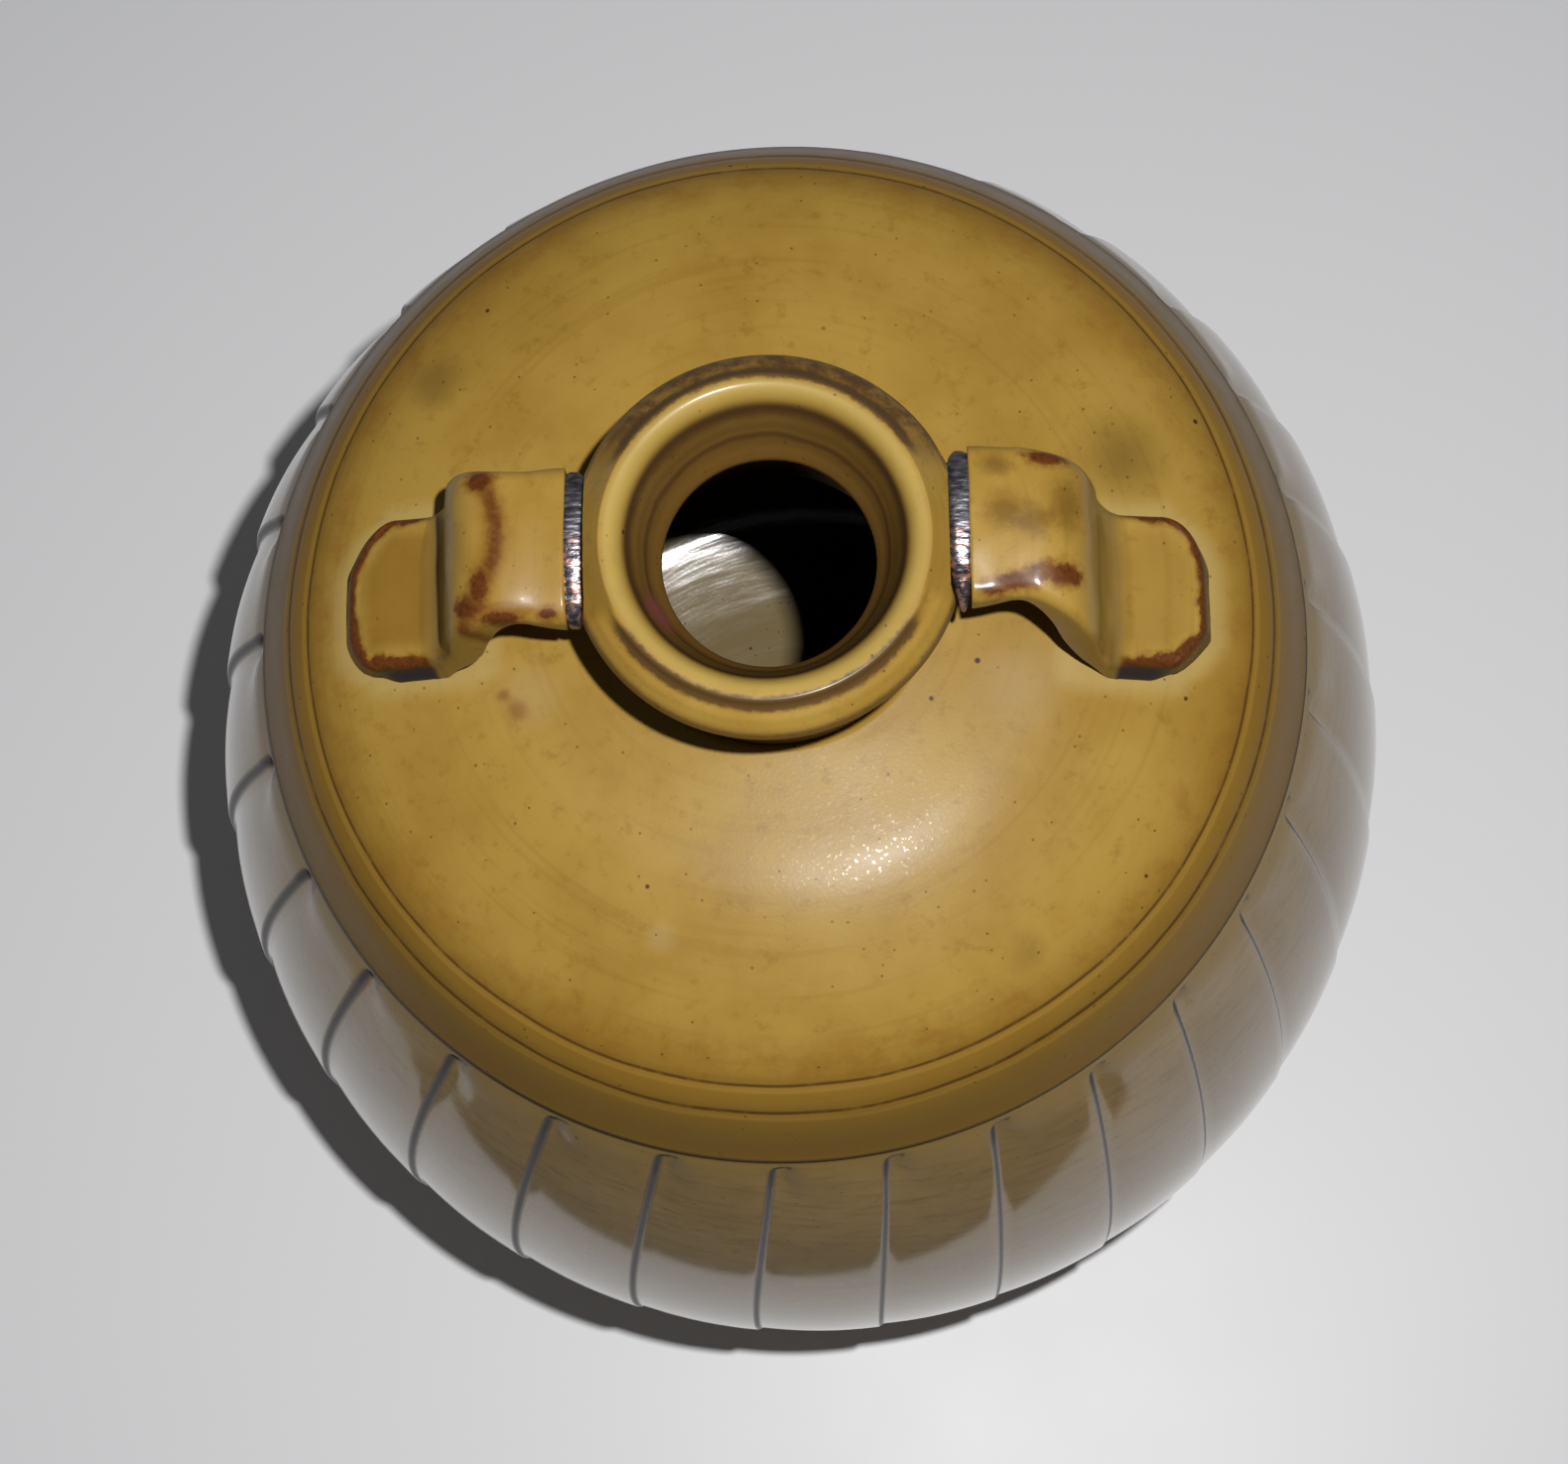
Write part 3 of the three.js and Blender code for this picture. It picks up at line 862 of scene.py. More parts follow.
def as_piece(clay: bmesh.types.BMesh, name: str, node: str, finish: Finish) -> bpy.types.Object:
    """Makes a finished piece of the vase from its mesh in millimetres.

    Args:
        clay: The mesh, which is freed.
        name: The name of the piece.
        node: The CAD node that it stands for.
        finish: Its finish.

    Returns:
        The piece.
    """
    bmesh.ops.transform(clay, matrix=Matrix.Scale(METRES, 4), verts=clay.verts)
    mesh = bpy.data.meshes.new(name)
    clay.to_mesh(mesh)
    clay.free()
    mesh.shade_smooth()
    mesh.materials.append(finish.material())
    piece = bpy.data.objects.new(name, mesh)
    bpy.context.scene.collection.objects.link(piece)
    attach(piece, BODY)
    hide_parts(node)
    LOG.info("%s stands for %s, with %d faces", name, node, len(mesh.polygons))
    return piece


class Wheel:
    """The potter's wheel, which turns outlines about the vertical axis."""

    @staticmethod
    def throw(outline: Sequence[Point], turns: int, closed: bool = False) -> bmesh.types.BMesh:
        """Spins an outline.

        Args:
            outline: The outline as radii and heights.
            turns: The number of steps in one turn.
            closed: Whether the outline is a ring of its own, off the axis.

        Returns:
            The mesh.
        """
        clay = bmesh.new()
        knots = [clay.verts.new((radius, 0.0, height)) for radius, height in outline]
        ends = [*knots[1:], knots[0]] if closed else knots[1:]
        edges = [clay.edges.new(pair) for pair in zip(knots, ends)]
        bmesh.ops.spin(
            clay, geom=[*knots, *edges], cent=(0, 0, 0), axis=(0, 0, 1), angle=2 * math.pi,
            steps=turns, use_merge=True,
        )
        bmesh.ops.remove_doubles(clay, verts=clay.verts, dist=1e-4)
        bmesh.ops.recalc_face_normals(clay, faces=clay.faces)
        return clay

    @staticmethod
    def press(clay: bmesh.types.BMesh, shape: Callable[[float, float, float], Vector]) -> None:
        """Moves each point of thrown clay.

        Args:
            clay: The mesh.
            shape: Gives the new place for a radius, an angle in radians and a height.
        """
        for vertex in clay.verts:
            x, y, z = vertex.co
            vertex.co = shape(math.hypot(x, y), math.atan2(y, x), z)


@dataclass
class FootRing:
    """The turned foot that the vase stands on."""

    radius: float
    height: float
    width: float = 7.5
    edge: float = 1.3
    wear: float = 0.12
    turns: int = 160

    def build(self) -> bpy.types.Object:
        """Builds the ring.

        Returns:
            The finished piece.
        """
        inner = self.radius - self.width
        outline = [
            *arc((self.radius - self.edge, self.edge), self.edge, -90, 0, 4),
            (self.radius - 0.35, 0.4 * self.height),
            (self.radius - 0.45, 0.55 * self.height),
            *arc((self.radius - 0.4, self.height - 0.4), 0.4, 0, 90, 3),
            (inner + 0.5, self.height),
            (inner, self.height - 0.5),
            (inner + 0.3, self.height / 2),
            *arc((inner + self.edge, self.edge), self.edge, 180, 270, 4),
        ]
        clay = Wheel.throw(outline, self.turns, closed=True)
        Wheel.press(clay, self.worn)
        return as_piece(clay, "turned_foot", "foot_ring", BareClay("bare_clay", Slot.BARE_FOOT))

    def worn(self, radius: float, angle: float, height: float) -> Vector:
        """Gives the place of a point after a little wear.

        Args:
            radius: Its distance from the wheel's axis before.
            angle: Its azimuth, in radians.
            height: Its height.

        Returns:
            Its place after.
        """
        reach = radius - abs(self.wear * ripple(angle, height, 3.0, 4.0))
        return Vector((reach * math.cos(angle), reach * math.sin(angle), height))


@dataclass
class Joint:
    """The wobbly line where the shoulder was set on the body."""

    height: float
    radius: float = 63.75
    wobble: float = 0.45
    reach: float = 7.0

    def shift(self, angle: float, height: float) -> float:
        """Gives how far the clay is lifted at a place near the joint.

        Args:
            angle: The azimuth, in radians.
            height: The height.

        Returns:
            The lift in millimetres.
        """
        fade = 1 - between(0, self.reach, abs(height - self.height))
        return fade * self.wobble * (ripple(angle, 0, 1.3, 1.0) + 0.4 * ripple(angle, 40, 5.0, 1.0))


@dataclass
class FlutedBody:
    """The round body, carved with overlapping panels."""

    joint: Joint
    base: float
    foot_radius: float
    belly_radius: float = 80.0
    belly_height: float = 62.0
    rise: float = 123.8
    fall: float = 69.0
    wall: float = 6.0
    floor: float = 15.3
    boss_drop: float = 2.0
    panels: int = 28
    columns: int = 16
    step_columns: int = 5
    first_edge: float = 6.8
    drift: float = 4.7
    drift_azimuth: float = 222.0
    top: float = 136.3
    runout: float = 1.6
    far_runout: float = 12.0
    depth: float = 1.35
    foot_depth: float = 0.2
    lean: float = 3.1
    hook: float = 1.0
    hook_height: float = 2.6
    unevenness: float = 0.14
    floor_ridge: float = 0.05
    wall_ridge: float = 0.3

    def wall_radius(self, height: float, inset: float = 0.0) -> float:
        """Gives the radius of the wall.

        Args:
            height: The height.
            inset: How far inside the outer face.

        Returns:
            The radius.
        """
        reach = (self.rise if height > self.belly_height else self.fall) - inset
        share = (height - self.belly_height) / reach
        return (self.belly_radius - inset) * math.sqrt(max(0.0, 1 - share * share))

    def edge(self, panel: int) -> float:
        """Gives the azimuth in degrees of a panel's edge, which drifts as a hand spaces it."""
        even = self.first_edge + 360.0 * panel / self.panels
        hand = 0.3 * noise.noise(Vector((panel % self.panels * 0.73, 4.2, 1.7)))
        return even + self.drift * math.cos(math.radians(even - self.drift_azimuth)) + hand

    def cut(self, height: float, across: float) -> float:
        """Gives the depth of the carving at a height, which fades on the way down.

        Args:
            height: The height.
            across: The share of the panel's width from its edge, where it runs out sooner.

        Returns:
            The depth.
        """
        low = self.base + 6.0
        if height >= self.top or height <= low:
            return 0.0
        share = (height - low) / (self.top - low)
        depth = self.foot_depth + (self.depth - self.foot_depth) * share ** 2
        runout = self.runout + (self.far_runout - self.runout) * min(1.0, 4.0 * across)
        return depth * between(0, runout, self.top - height) * between(low, low + 10.0, height)

    def outline(self) -> list[Point]:
        """Gives the outline from under the middle of the floor, up the outside, and down inside."""
        boss = self.foot_radius - 7.8
        fine = [self.top - 6.5 + 0.33 * i for i in range(25)]
        coarse = [self.base + 1.0 + 1.25 * i for i in range(200)]
        rows = [height for height in coarse if height < fine[0] - 0.4] + fine
        rows = [height for height in rows if height < self.joint.height - 0.5]
        rim = self.joint.height
        outside = [(self.wall_radius(height), height) for height in rows]
        inside = [(self.wall_radius(rim - 3.2 * i, self.wall), rim - 3.2 * i) for i in range(1, 37)]
        bowl = [(radius, self.bowl(radius)) for radius in (52, 48, 44, 41, 38, 35, 32, 28, 24, 18, 12, 6, 0)]
        return [
            (0.0, self.base - self.boss_drop),
            (boss - 0.4, self.base - self.boss_drop),
            (boss, self.base - self.boss_drop + 0.4),
            (boss, self.base),
            (self.wall_radius(self.base) - 1.2, self.base),
            (self.wall_radius(self.base) - 0.3, self.base + 0.3),
            *outside,
            (self.joint.radius - 0.05, rim - 0.2),
            (self.joint.radius - 0.35, rim),
            (self.wall_radius(rim, self.wall), rim),
            *[point for point in inside if point[1] > self.bowl(52) + 2.5],
            *bowl,
        ]

    def bowl(self, radius: float) -> float:
        """Gives the height of the floor inside, a shallow bowl."""
        return self.floor + 0.0039 * max(0.0, radius - 18.0) ** 2

    def build(self) -> bpy.types.Object:
        """Builds the body.

        Returns:
            The finished piece.
        """
        count = self.panels * self.columns
        clay = Wheel.throw(self.outline(), count)
        pool = clay.verts.layers.float.new("pool")
        inside = clay.verts.layers.float.new("inside")
        for vertex in clay.verts:
            x, y, height = vertex.co
            radius, angle = math.hypot(x, y), math.atan2(y, x)
            outer = radius > self.wall_radius(height, self.wall / 2) and height > self.base + 0.1
            if outer:
                angle, radius, vertex[pool] = self.carved(radius, angle, height, count)
                radius += self.unevenness * ripple(angle, height, 1.5, 30.0)
            elif height > self.base + 2.0:
                vertex[inside] = 1.0
                height, radius = self.ridged(radius, angle, height)
            height += self.joint.shift(angle, height)
            vertex.co = (radius * math.cos(angle), radius * math.sin(angle), height)
        return as_piece(clay, "carved_body", "fluted_body", BodyGlaze("body_glaze", Slot.BODY))

    def carved(self, radius: float, angle: float, height: float, count: int) -> tuple[float, float, float]:
        """Carves a point of the outside.

        Args:
            radius: Its radius before.
            angle: Its azimuth before, in radians.
            height: Its height.
            count: The number of columns of points round the body.

        Returns:
            Its azimuth and radius after, and how much glaze pools there, from 0 to 1.
        """
        column = round(angle / (2 * math.pi) * count) % count
        panel, place = divmod(column, self.columns)
        start, end = self.edge(panel), self.edge(panel + 1)
        down = min(1.0, max(0.0, (self.top - height) / (self.top - self.belly_height)))
        share = 0.055 + 0.06 * (1 - down)
        curl = min(1.0, max(0.0, 1 - (self.top - height) / self.hook_height))
        if place <= self.step_columns:
            part = place / self.step_columns
            across = share * part
            depth = self.cut(height, 0.0)
            drop = depth * between(0, 1, part)
            pooled = math.sin(math.pi * min(1.0, part * 1.05)) * min(1.0, 2.2 * depth)
        else:
            part = (place - self.step_columns) / (self.columns - self.step_columns)
            across = share + (1 - share) * part
            drop = self.cut(height, part) * (1 - part) ** 2
            pooled = 0.0
        bend = self.hook * (1 - math.sqrt(1 - curl * curl)) * (1 - across)
        azimuth = start + (end - start) * across - self.lean * (1 - (1 - down) ** 2) + bend
        return math.radians(azimuth), radius - drop, pooled

    def ridged(self, radius: float, angle: float, height: float) -> tuple[float, float]:
        """Adds the throwing ridges of the inside.

        Args:
            radius: The radius before.
            angle: The azimuth, in radians.
            height: The height before.

        Returns:
            The height and radius after.
        """
        if height < self.bowl(52) + 0.5:
            wave = math.sin(2 * math.pi * (radius / 4.6 + angle / (2 * math.pi)))
            return height + self.floor_ridge * wave * between(6, 20, radius), radius
        wave = math.sin(2 * math.pi * (height / 6.5 + angle / (2 * math.pi)))
        fade = between(self.joint.height, self.joint.height - 8, height)
        return height, radius + self.wall_ridge * wave * fade


@dataclass
class Shoulder:
    """The domed shoulder with its thrown lines."""

    joint: Joint
    crown: float
    wall: float = 6.0
    seat_radius: float = 20.0
    root_radius: float = 18.1
    seat_depth: float = 2.0
    ledge: float = 3.8
    crown_fullness: float = 0.915
    crown_slope: float = 0.097
    turn_fullness: float = 0.414
    turn_angle: float = 61.6
    steps: int = 400
    spacing: float = 0.5
    lines: tuple[float, ...] = (56.0, 58.8)
    line_depth: float = 0.2
    swell_radius: float = 34.5
    swell_width: float = 7.0
    swell: float = 0.4
    line_width: float = 0.3
    turns: int = 384
    curve: list[Point] = field(default_factory=list)
    known: ClassVar["Shoulder | None"] = None

    def __post_init__(self) -> None:
        """Works out the curve of the shoulder from its crown to the joint."""
        run = self.crown_fullness * (self.joint.radius - self.seat_radius)
        rise = self.turn_fullness * (self.crown - self.joint.height)
        back = rise / math.tan(math.radians(self.turn_angle))
        handles = [
            Vector((self.seat_radius, self.crown)),
            Vector((self.seat_radius + run, self.crown - self.crown_slope * run)),
            Vector((self.joint.radius - back, self.joint.height + rise)),
            Vector((self.joint.radius, self.joint.height)),
        ]
        for i in range(self.steps + 1):
            t = i / self.steps
            weights = ((1 - t) ** 3, 3 * (1 - t) ** 2 * t, 3 * (1 - t) * t * t, t ** 3)
            point = sum((handle * weight for handle, weight in zip(handles, weights)), Vector((0.0, 0.0)))
            self.curve.append((point.x, point.y))
        Shoulder.known = self

    @staticmethod
    def surface(radius: float) -> float:
        """Gives the height of the shoulder's surface at a radius.

        Args:
            radius: The distance from the wheel's axis.

        Returns:
            The height.
        """
        curve = Shoulder.known.curve
        if radius <= curve[0][0]:
            return curve[0][1]
        for (near, high), (far, low) in zip(curve, curve[1:]):
            if radius <= far:
                return high + (low - high) * (radius - near) / (far - near)
        return curve[-1][1]

    def outline(self) -> list[Point]:
        """Gives the closed outline: over the dome, round the spigot and back under the dome."""
        length = 0.0
        outer = [self.curve[0]]
        for before, after in zip(self.curve, self.curve[1:]):
            length += math.dist(before, after)
            if length >= self.spacing:
                outer.append(after)
                length -= self.spacing
        outer = [point for point in outer if point[1] > self.joint.height + 0.8]
        spigot = self.joint.radius - self.wall - 1.0
        under = [(max(radius - 2.5, self.seat_radius), height - self.wall) for radius, height in outer[::9]]
        under = [point for point in under if point[0] < spigot - 4.2 and point[0] > self.seat_radius]
        low = self.seat_radius - self.ledge
        return [
            (self.root_radius, self.crown + 0.17),
            (self.seat_radius - 0.9, self.crown + 0.08),
            *outer,
            (self.joint.radius - 0.05, self.joint.height + 0.25),
            (self.joint.radius - 0.35, self.joint.height + 0.02),
            (spigot, self.joint.height),
            (spigot, self.joint.height - 4.0),
            (spigot - 4.0, self.joint.height - 4.0),
            *reversed(under),
            (low + 2.3, self.crown - self.wall + 0.3),
            (low, self.crown - self.seat_depth),
            (self.root_radius, self.crown - self.seat_depth),
        ]

    def halo(self, x: float, y: float, tabs: Sequence["StrapHandle"]) -> float:
        """Gives how pale the glaze is beside a tab.

        Args:
            x: A place on the dome.
            y: The same.
            tabs: The handles.

        Returns:
            1 at the edge of a tab, fading to 0 away from it.
        """
        gaps = [tab.gap(x, y) for tab in tabs]
        return 1 - between(0.2, 3.2, min(gaps))

    def build(self, handles: Sequence["StrapHandle"]) -> bpy.types.Object:
        """Builds the shoulder.

        Args:
            handles: The handles, whose tabs lie on it.

        Returns:
            The finished piece.
        """
        clay = Wheel.throw(self.outline(), self.turns, closed=True)
        halo = clay.verts.layers.float.new("halo")
        for vertex in clay.verts:
            x, y, height = vertex.co
            radius, angle = math.hypot(x, y), math.atan2(y, x)
            vertex[halo] = self.halo(x, y, handles)
            if abs(height - self.surface(radius)) < 0.6 and radius > self.seat_radius:
                height += self.uneven(radius, angle)
            height += self.joint.shift(angle, height)
            vertex.co = (radius * math.cos(angle), radius * math.sin(angle), height)
        return as_piece(clay, "domed_shoulder", "shoulder", ShoulderGlaze("shoulder_glaze", Slot.SHOULDER))

    def uneven(self, radius: float, angle: float) -> float:
        """Gives the relief of the dome: its thrown lines and the trace of fingers.

        Args:
            radius: The distance from the wheel's axis.
            angle: The azimuth, in radians.

        Returns:
            The lift in millimetres.
        """
        wander = 0.18 * ripple(angle, radius, 2.2, 30.0)
        lift = 0.05 * ripple(angle, 0, 1.6, 1.0)
        for line in self.lines:
            away = (radius + wander - line) / self.line_width
            lift -= self.line_depth * math.exp(-away * away)
            edge = (radius + wander - line - 1.5 * self.line_width) / self.line_width
            lift += 0.05 * math.exp(-edge * edge)
        off = (radius - self.swell_radius) / self.swell_width
        lift += self.swell * math.exp(-off * off)
        finger = ripple(angle, 7.0 * radius, 1.2, 9.0)
        return lift + 0.008 * finger * between(24, 30, radius)


@dataclass
class Collar:
    """The thrown collar with its lip, groove, crest, funnel and throat."""

    top: float
    base: float
    flat: float
    lip_radius: float = 21.8
    lip_drop: float = 4.2
    crest_radius: float = 18.0
    groove_radius: float = 19.5
    neck_radius: float = 17.7
    root_radius: float = 17.9
    throat_radius: float = 12.0
    throat_drop: float = 11.5
    inner_drop: float = 3.2
    strap_width: float = 18.0
    strap_top: float = 180.4
    strap_thickness: float = 4.4
    unevenness: float = 0.07
    turns: int = 256

    def outline(self) -> list[Point]:
        """Gives the closed outline of the collar, from its seat up the outside and down the funnel."""
        top, lip = self.top, self.top - self.lip_drop
        throat = top - self.throat_drop
        outside = flowing([
            (self.root_radius + 0.1, self.base + 0.2),
            (self.root_radius + 0.1, self.base + 2.4),
            (self.neck_radius, self.base + 4.5),
            (self.neck_radius, lip - 8.5),
            (self.neck_radius + 0.9, lip - 5.2),
            (self.lip_radius - 0.9, lip - 2.2),
            (self.lip_radius, lip - 0.3),
            (self.lip_radius - 0.05, lip + 0.5),
            (self.lip_radius - 0.45, lip + 1.45),
            (self.lip_radius - 1.05, lip + 2.1),
            (self.groove_radius + 0.75, lip + 2.55),
            (self.groove_radius, lip + 2.95),
            (self.groove_radius - 0.6, lip + 3.45),
            (self.crest_radius + 0.5, top - 0.15),
            (self.crest_radius, top - 0.02),
            (self.crest_radius - 0.7, top - 0.06),
            (self.crest_radius - 1.4, top - 0.4),
            (self.crest_radius - 2.05, top - 1.1),
            (self.crest_radius - 2.6, top - 2.2),
            (self.crest_radius - 3.15, top - 3.7),
            (self.throat_radius + 2.3, top - 5.4),
            (self.throat_radius + 1.6, throat + 4.2),
            (self.throat_radius + 1.0, throat + 2.5),
            (self.throat_radius + 0.4, throat + 1.2),
            (self.throat_radius, throat),
            (self.throat_radius + 0.35, throat - 1.4),
            (self.throat_radius + 1.6, throat - 4.0),
        ], 5)
        return [
            *outside,
            (self.seat_inner(), self.base + 5.0),
            (self.seat_inner(), self.base),
            (self.root_radius, self.base),
        ]

    def seat_inner(self) -> float:
        """Gives the inner radius of the collar's foot."""
        return self.root_radius - self.inner_drop

    def build(self, middles: dict[Side, float]) -> bpy.types.Object:
        """Builds the collar.

        Args:
            middles: The Y of the middle of each strap where it meets the collar.

        Returns:
            The finished piece.
        """
        clay = Wheel.throw(self.outline(), self.turns, closed=True)
        for vertex in clay.verts:
            x, y, height = vertex.co
            radius, angle = math.hypot(x, y), math.atan2(y, x)
            radius += self.unevenness * ripple(angle, height, 1.8, 9.0)
            place = Vector((radius * math.cos(angle), radius * math.sin(angle), height))
            side = Side.RIGHT if place.x > 0 else Side.LEFT
            vertex.co = self.joined(place, side, middles[side])
        return as_piece(clay, "thrown_collar", "neck_collar", CollarGlaze("collar_glaze", Slot.COLLAR))

    def joined(self, place: Vector, side: Side, middle: float) -> Vector:
        """Flattens the outside of the lip against a strap, and fills the groove there.

        Args:
            place: A place on the collar.
            side: The side of the strap.
            middle: The Y of the strap's middle.

        Returns:
            The place after.
        """
        low = self.strap_top - self.strap_thickness
        reach = math.hypot(place.x, place.y)
        aside = abs(place.y - middle) - self.strap_width / 2
        beside = (1 - between(-1.5, 1.5, aside)) * between(low - 3.0, low - 0.5, place.z)
        if beside == 0 or reach < self.crest_radius:
            return place
        wanted = min(abs(place.x), self.flat)
        x = abs(place.x) + (wanted - abs(place.x)) * beside
        over = between(self.strap_top - 1.0, self.strap_top, place.z)
        fall = self.top - 0.02 - 1.3 * max(0.0, math.hypot(x, place.y) - self.crest_radius - 0.2)
        z = place.z + (max(self.strap_top, fall) - place.z) * beside * over
        return Vector((side.value * x, place.y, z))


@dataclass(frozen=True)
class Corner:
    """A clipped corner of a tab: its length along the tab, its depth across it, and how round it is."""

    length: float
    depth: float
    round_share: float


@dataclass
class StrapHandle:
    """A strap bent down from the collar to its tab on the shoulder.

    Its side view is drawn as pairs of a point on its top and the point below that, and its section at each
    pair is an oblong with soft edges.
    """

    side: Side
    start: float
    end: float
    top: float
    aside: float
    sway: float
    near_corner: Corner
    far_corner: Corner
    tab_shade: float
    spots: tuple[Patch, ...] = ()
    olives: tuple[Patch, ...] = ()
    far_away: float = 99.0
    width: float = 18.0
    tab_width: float = 19.6
    tab_thickness: float = 3.7
    leg: float = 36.8
    soft_edge: float = 1.5
    low_edge: float = 0.9
    crown: float = 1.1
    slope: float = 0.75
    skirt: float = 0.55
    unevenness: float = 0.14

    def middle(self, reach: float) -> float:
        """Gives the Y of the strap's middle at a distance from the wheel's axis."""
        return self.aside + self.sway * (1 - between(self.leg - 9.5, self.leg + 2.5, reach))

    def half_width(self, reach: float) -> float:
        """Gives half the width of the strap or tab at a distance from the wheel's axis."""
        waist = 0.4 * between(self.start, self.start + 5, reach)
        spread = (self.tab_width - self.width) / 2 + waist
        return self.width / 2 - waist + spread * between(self.leg - 8, self.leg + 2, reach)

    def corner(self, beside: float) -> Corner:
        """Gives the tab's corner on one side of the middle line, which is negative on the near side."""
        return self.near_corner if beside < 0 else self.far_corner

    def outer(self, beside: float) -> float:
        """Gives where the tab ends, which its clipped corners draw in.

        Args:
            beside: The distance from the strap's middle line, negative on the near side.

        Returns:
            The distance from the wheel's axis.
        """
        corner = self.corner(beside)
        share = min(1.0, max(0.0, (abs(beside) - self.tab_width / 2 + corner.depth) / corner.depth))
        curved = 1 - math.sqrt(1 - share * share)
        straight = share * between(-0.35, 0.35, share)
        drawn_in = corner.round_share * curved + (1 - corner.round_share) * straight
        return self.end - corner.length * drawn_in

    def gap(self, x: float, y: float) -> float:
        """Gives how far a place on the dome is from the tab, in plan.

        Args:
            x: The place.
            y: The same.

        Returns:
            The distance, or 0 under the tab.
        """
        reach = self.side.value * x
        beside = y - self.aside
        if reach < self.leg - 8:
            return self.far_away
        past = max(0.0, abs(beside) - self.half_width(reach))
        held = math.copysign(min(abs(beside), self.tab_width / 2), beside)
        return math.hypot(max(0.0, self.leg - 3 - reach, reach - self.outer(held)), past)

    def stations(self) -> list[Patch]:
        """Gives the side view of the strap as pairs of a point on its top and one below it."""
        inner, leg = self.start, self.leg
        landing = leg + 4.4
        tops = [
            (inner - 0.5, self.top - 0.33), (inner + 2.0, self.top - 0.28), (inner + 5.2, self.top + 0.02),
            (leg - 6.3, self.top - 0.05), (leg - 3.7, self.top - 1.0), (leg - 1.8, self.top - 2.8),
            (leg - 0.6, self.top - 5.6), (leg, self.top - 9.0), (leg + 0.3, self.top - 12.4),
            (leg + 0.8, self.top - 15.0),
            (leg + 2.0, Shoulder.surface(leg + 2.0) + self.tab_thickness + 1.1),
            (landing, Shoulder.surface(landing) + self.tab_thickness),
        ]
        lows = [
            (inner - 0.5, self.top - 5.6), (inner + 2.3, self.top - 4.3), (inner + 4.4, self.top - 3.7),
            (leg - 8.0, self.top - 4.2), (leg - 6.5, self.top - 5.9), (leg - 5.4, self.top - 8.4),
            (leg - 4.6, self.top - 11.2), (leg - 3.7, self.top - 14.4), (leg - 2.2, self.top - 17.6),
            (leg - 0.4, self.top - 20.0), (leg + 1.6, Shoulder.surface(leg + 1.6) - 0.6),
            (leg + 3.4, Shoulder.surface(leg + 3.4) - 0.1),
        ]
        pairs = list(zip(flowing(tops, 5), flowing(lows, 5)))
        last = self.end - self.slope - self.soft_edge
        steps = 24
        for i in range(1, steps + 1):
            x = landing + (last - landing) * i / steps
            under = leg + 3.4 + (self.end - 0.15 - leg - 3.4) * i / steps
            upper = (x, Shoulder.surface(x) + self.tab_thickness)
            pairs.append((upper, (under, Shoulder.surface(under) - 0.1)))
        edge = Shoulder.surface(last) + self.tab_thickness
        under = (self.end - 0.15, Shoulder.surface(self.end) - 0.1)
        for point in arc((last, edge - self.soft_edge), self.soft_edge, 90, 0, 6)[1:]:
            pairs.append((point, under))
        high = edge - self.soft_edge
        for share in (0.3, 0.6, 0.8, 0.95):
            side = (self.end - self.slope * (1 - share), high + (under[1] - high) * share)
            pairs.append((side, under))
        return pairs

    def section(self, width: float, height: float) -> list[Point]:
        """Draws the section of the strap: an oblong with soft edges.

        Args:
            width: Its width.
            height: Its height.

        Returns:
            Its points as shares from -1 to 1 across and from 0 to 1 upwards, always the same number.
        """
        half = width / 2
        soft = min(self.soft_edge, 0.55 * height)
        low = min(self.low_edge, 0.35 * height)
        corners = [
            arc((half - soft, height - soft), soft, 0, 90, 6),
            arc((soft - half, height - soft), soft, 90, 180, 6),
            arc((low - half, low), low, 180, 270, 4),
            arc((half - low, low), low, 270, 360, 4),
        ]
        points = []
        for corner, following, steps in zip(corners, [*corners[1:], corners[0]], (30, 2, 20, 2)):
            points += corner
            (x, z), (next_x, next_z) = corner[-1], following[0]
            for i in range(1, steps):
                points.append((x + (next_x - x) * i / steps, z + (next_z - z) * i / steps))
        return [(x / half, z / height) for x, z in points]

    def build(self, name: str, node: str) -> bpy.types.Object:
        """Builds the handle.

        Args:
            name: The name of the piece.
            node: The CAD node that it stands for.

        Returns:
            The finished piece.
        """
        clay = bmesh.new()
        layers = {key: clay.verts.layers.float.new(key) for key in ("along", "across", "rim", "low")}
        pairs = self.stations()
        along = 0.0
        landing = 0.0
        rings: list[list[bmesh.types.BMVert]] = []
        for before, pair in zip([pairs[0], *pairs], pairs):
            along += math.dist(pair[0], before[0])
            landing = along if pair[0][0] <= self.leg + 3.0 else landing
            half = self.half_width(pair[0][0])
            section = self.section(2 * half, math.dist(*pair))
            rings.append(self.next_ring(clay, rings, len(section)))
            for vertex, (across, share) in zip(rings[-1], section):
                self.place(vertex, layers, pair, half, (along, across, share))
        for end in ([rings[0][-1], *rings[0][:-1]], rings[-1]):
            bmesh.ops.edgeloop_fill(clay, edges=self.edges_of(clay, end))
        bmesh.ops.remove_doubles(clay, verts=clay.verts, dist=0.002)
        bmesh.ops.recalc_face_normals(clay, faces=clay.faces)
        finish = StrapGlaze(
            f"{self.side.name.lower()}_strap_glaze", Slot.HANDLE, side=self.side, tab=landing,
            tab_shade=self.tab_shade, spots=self.spots, olives=self.olives,
        )
        return as_piece(clay, name, node, finish)

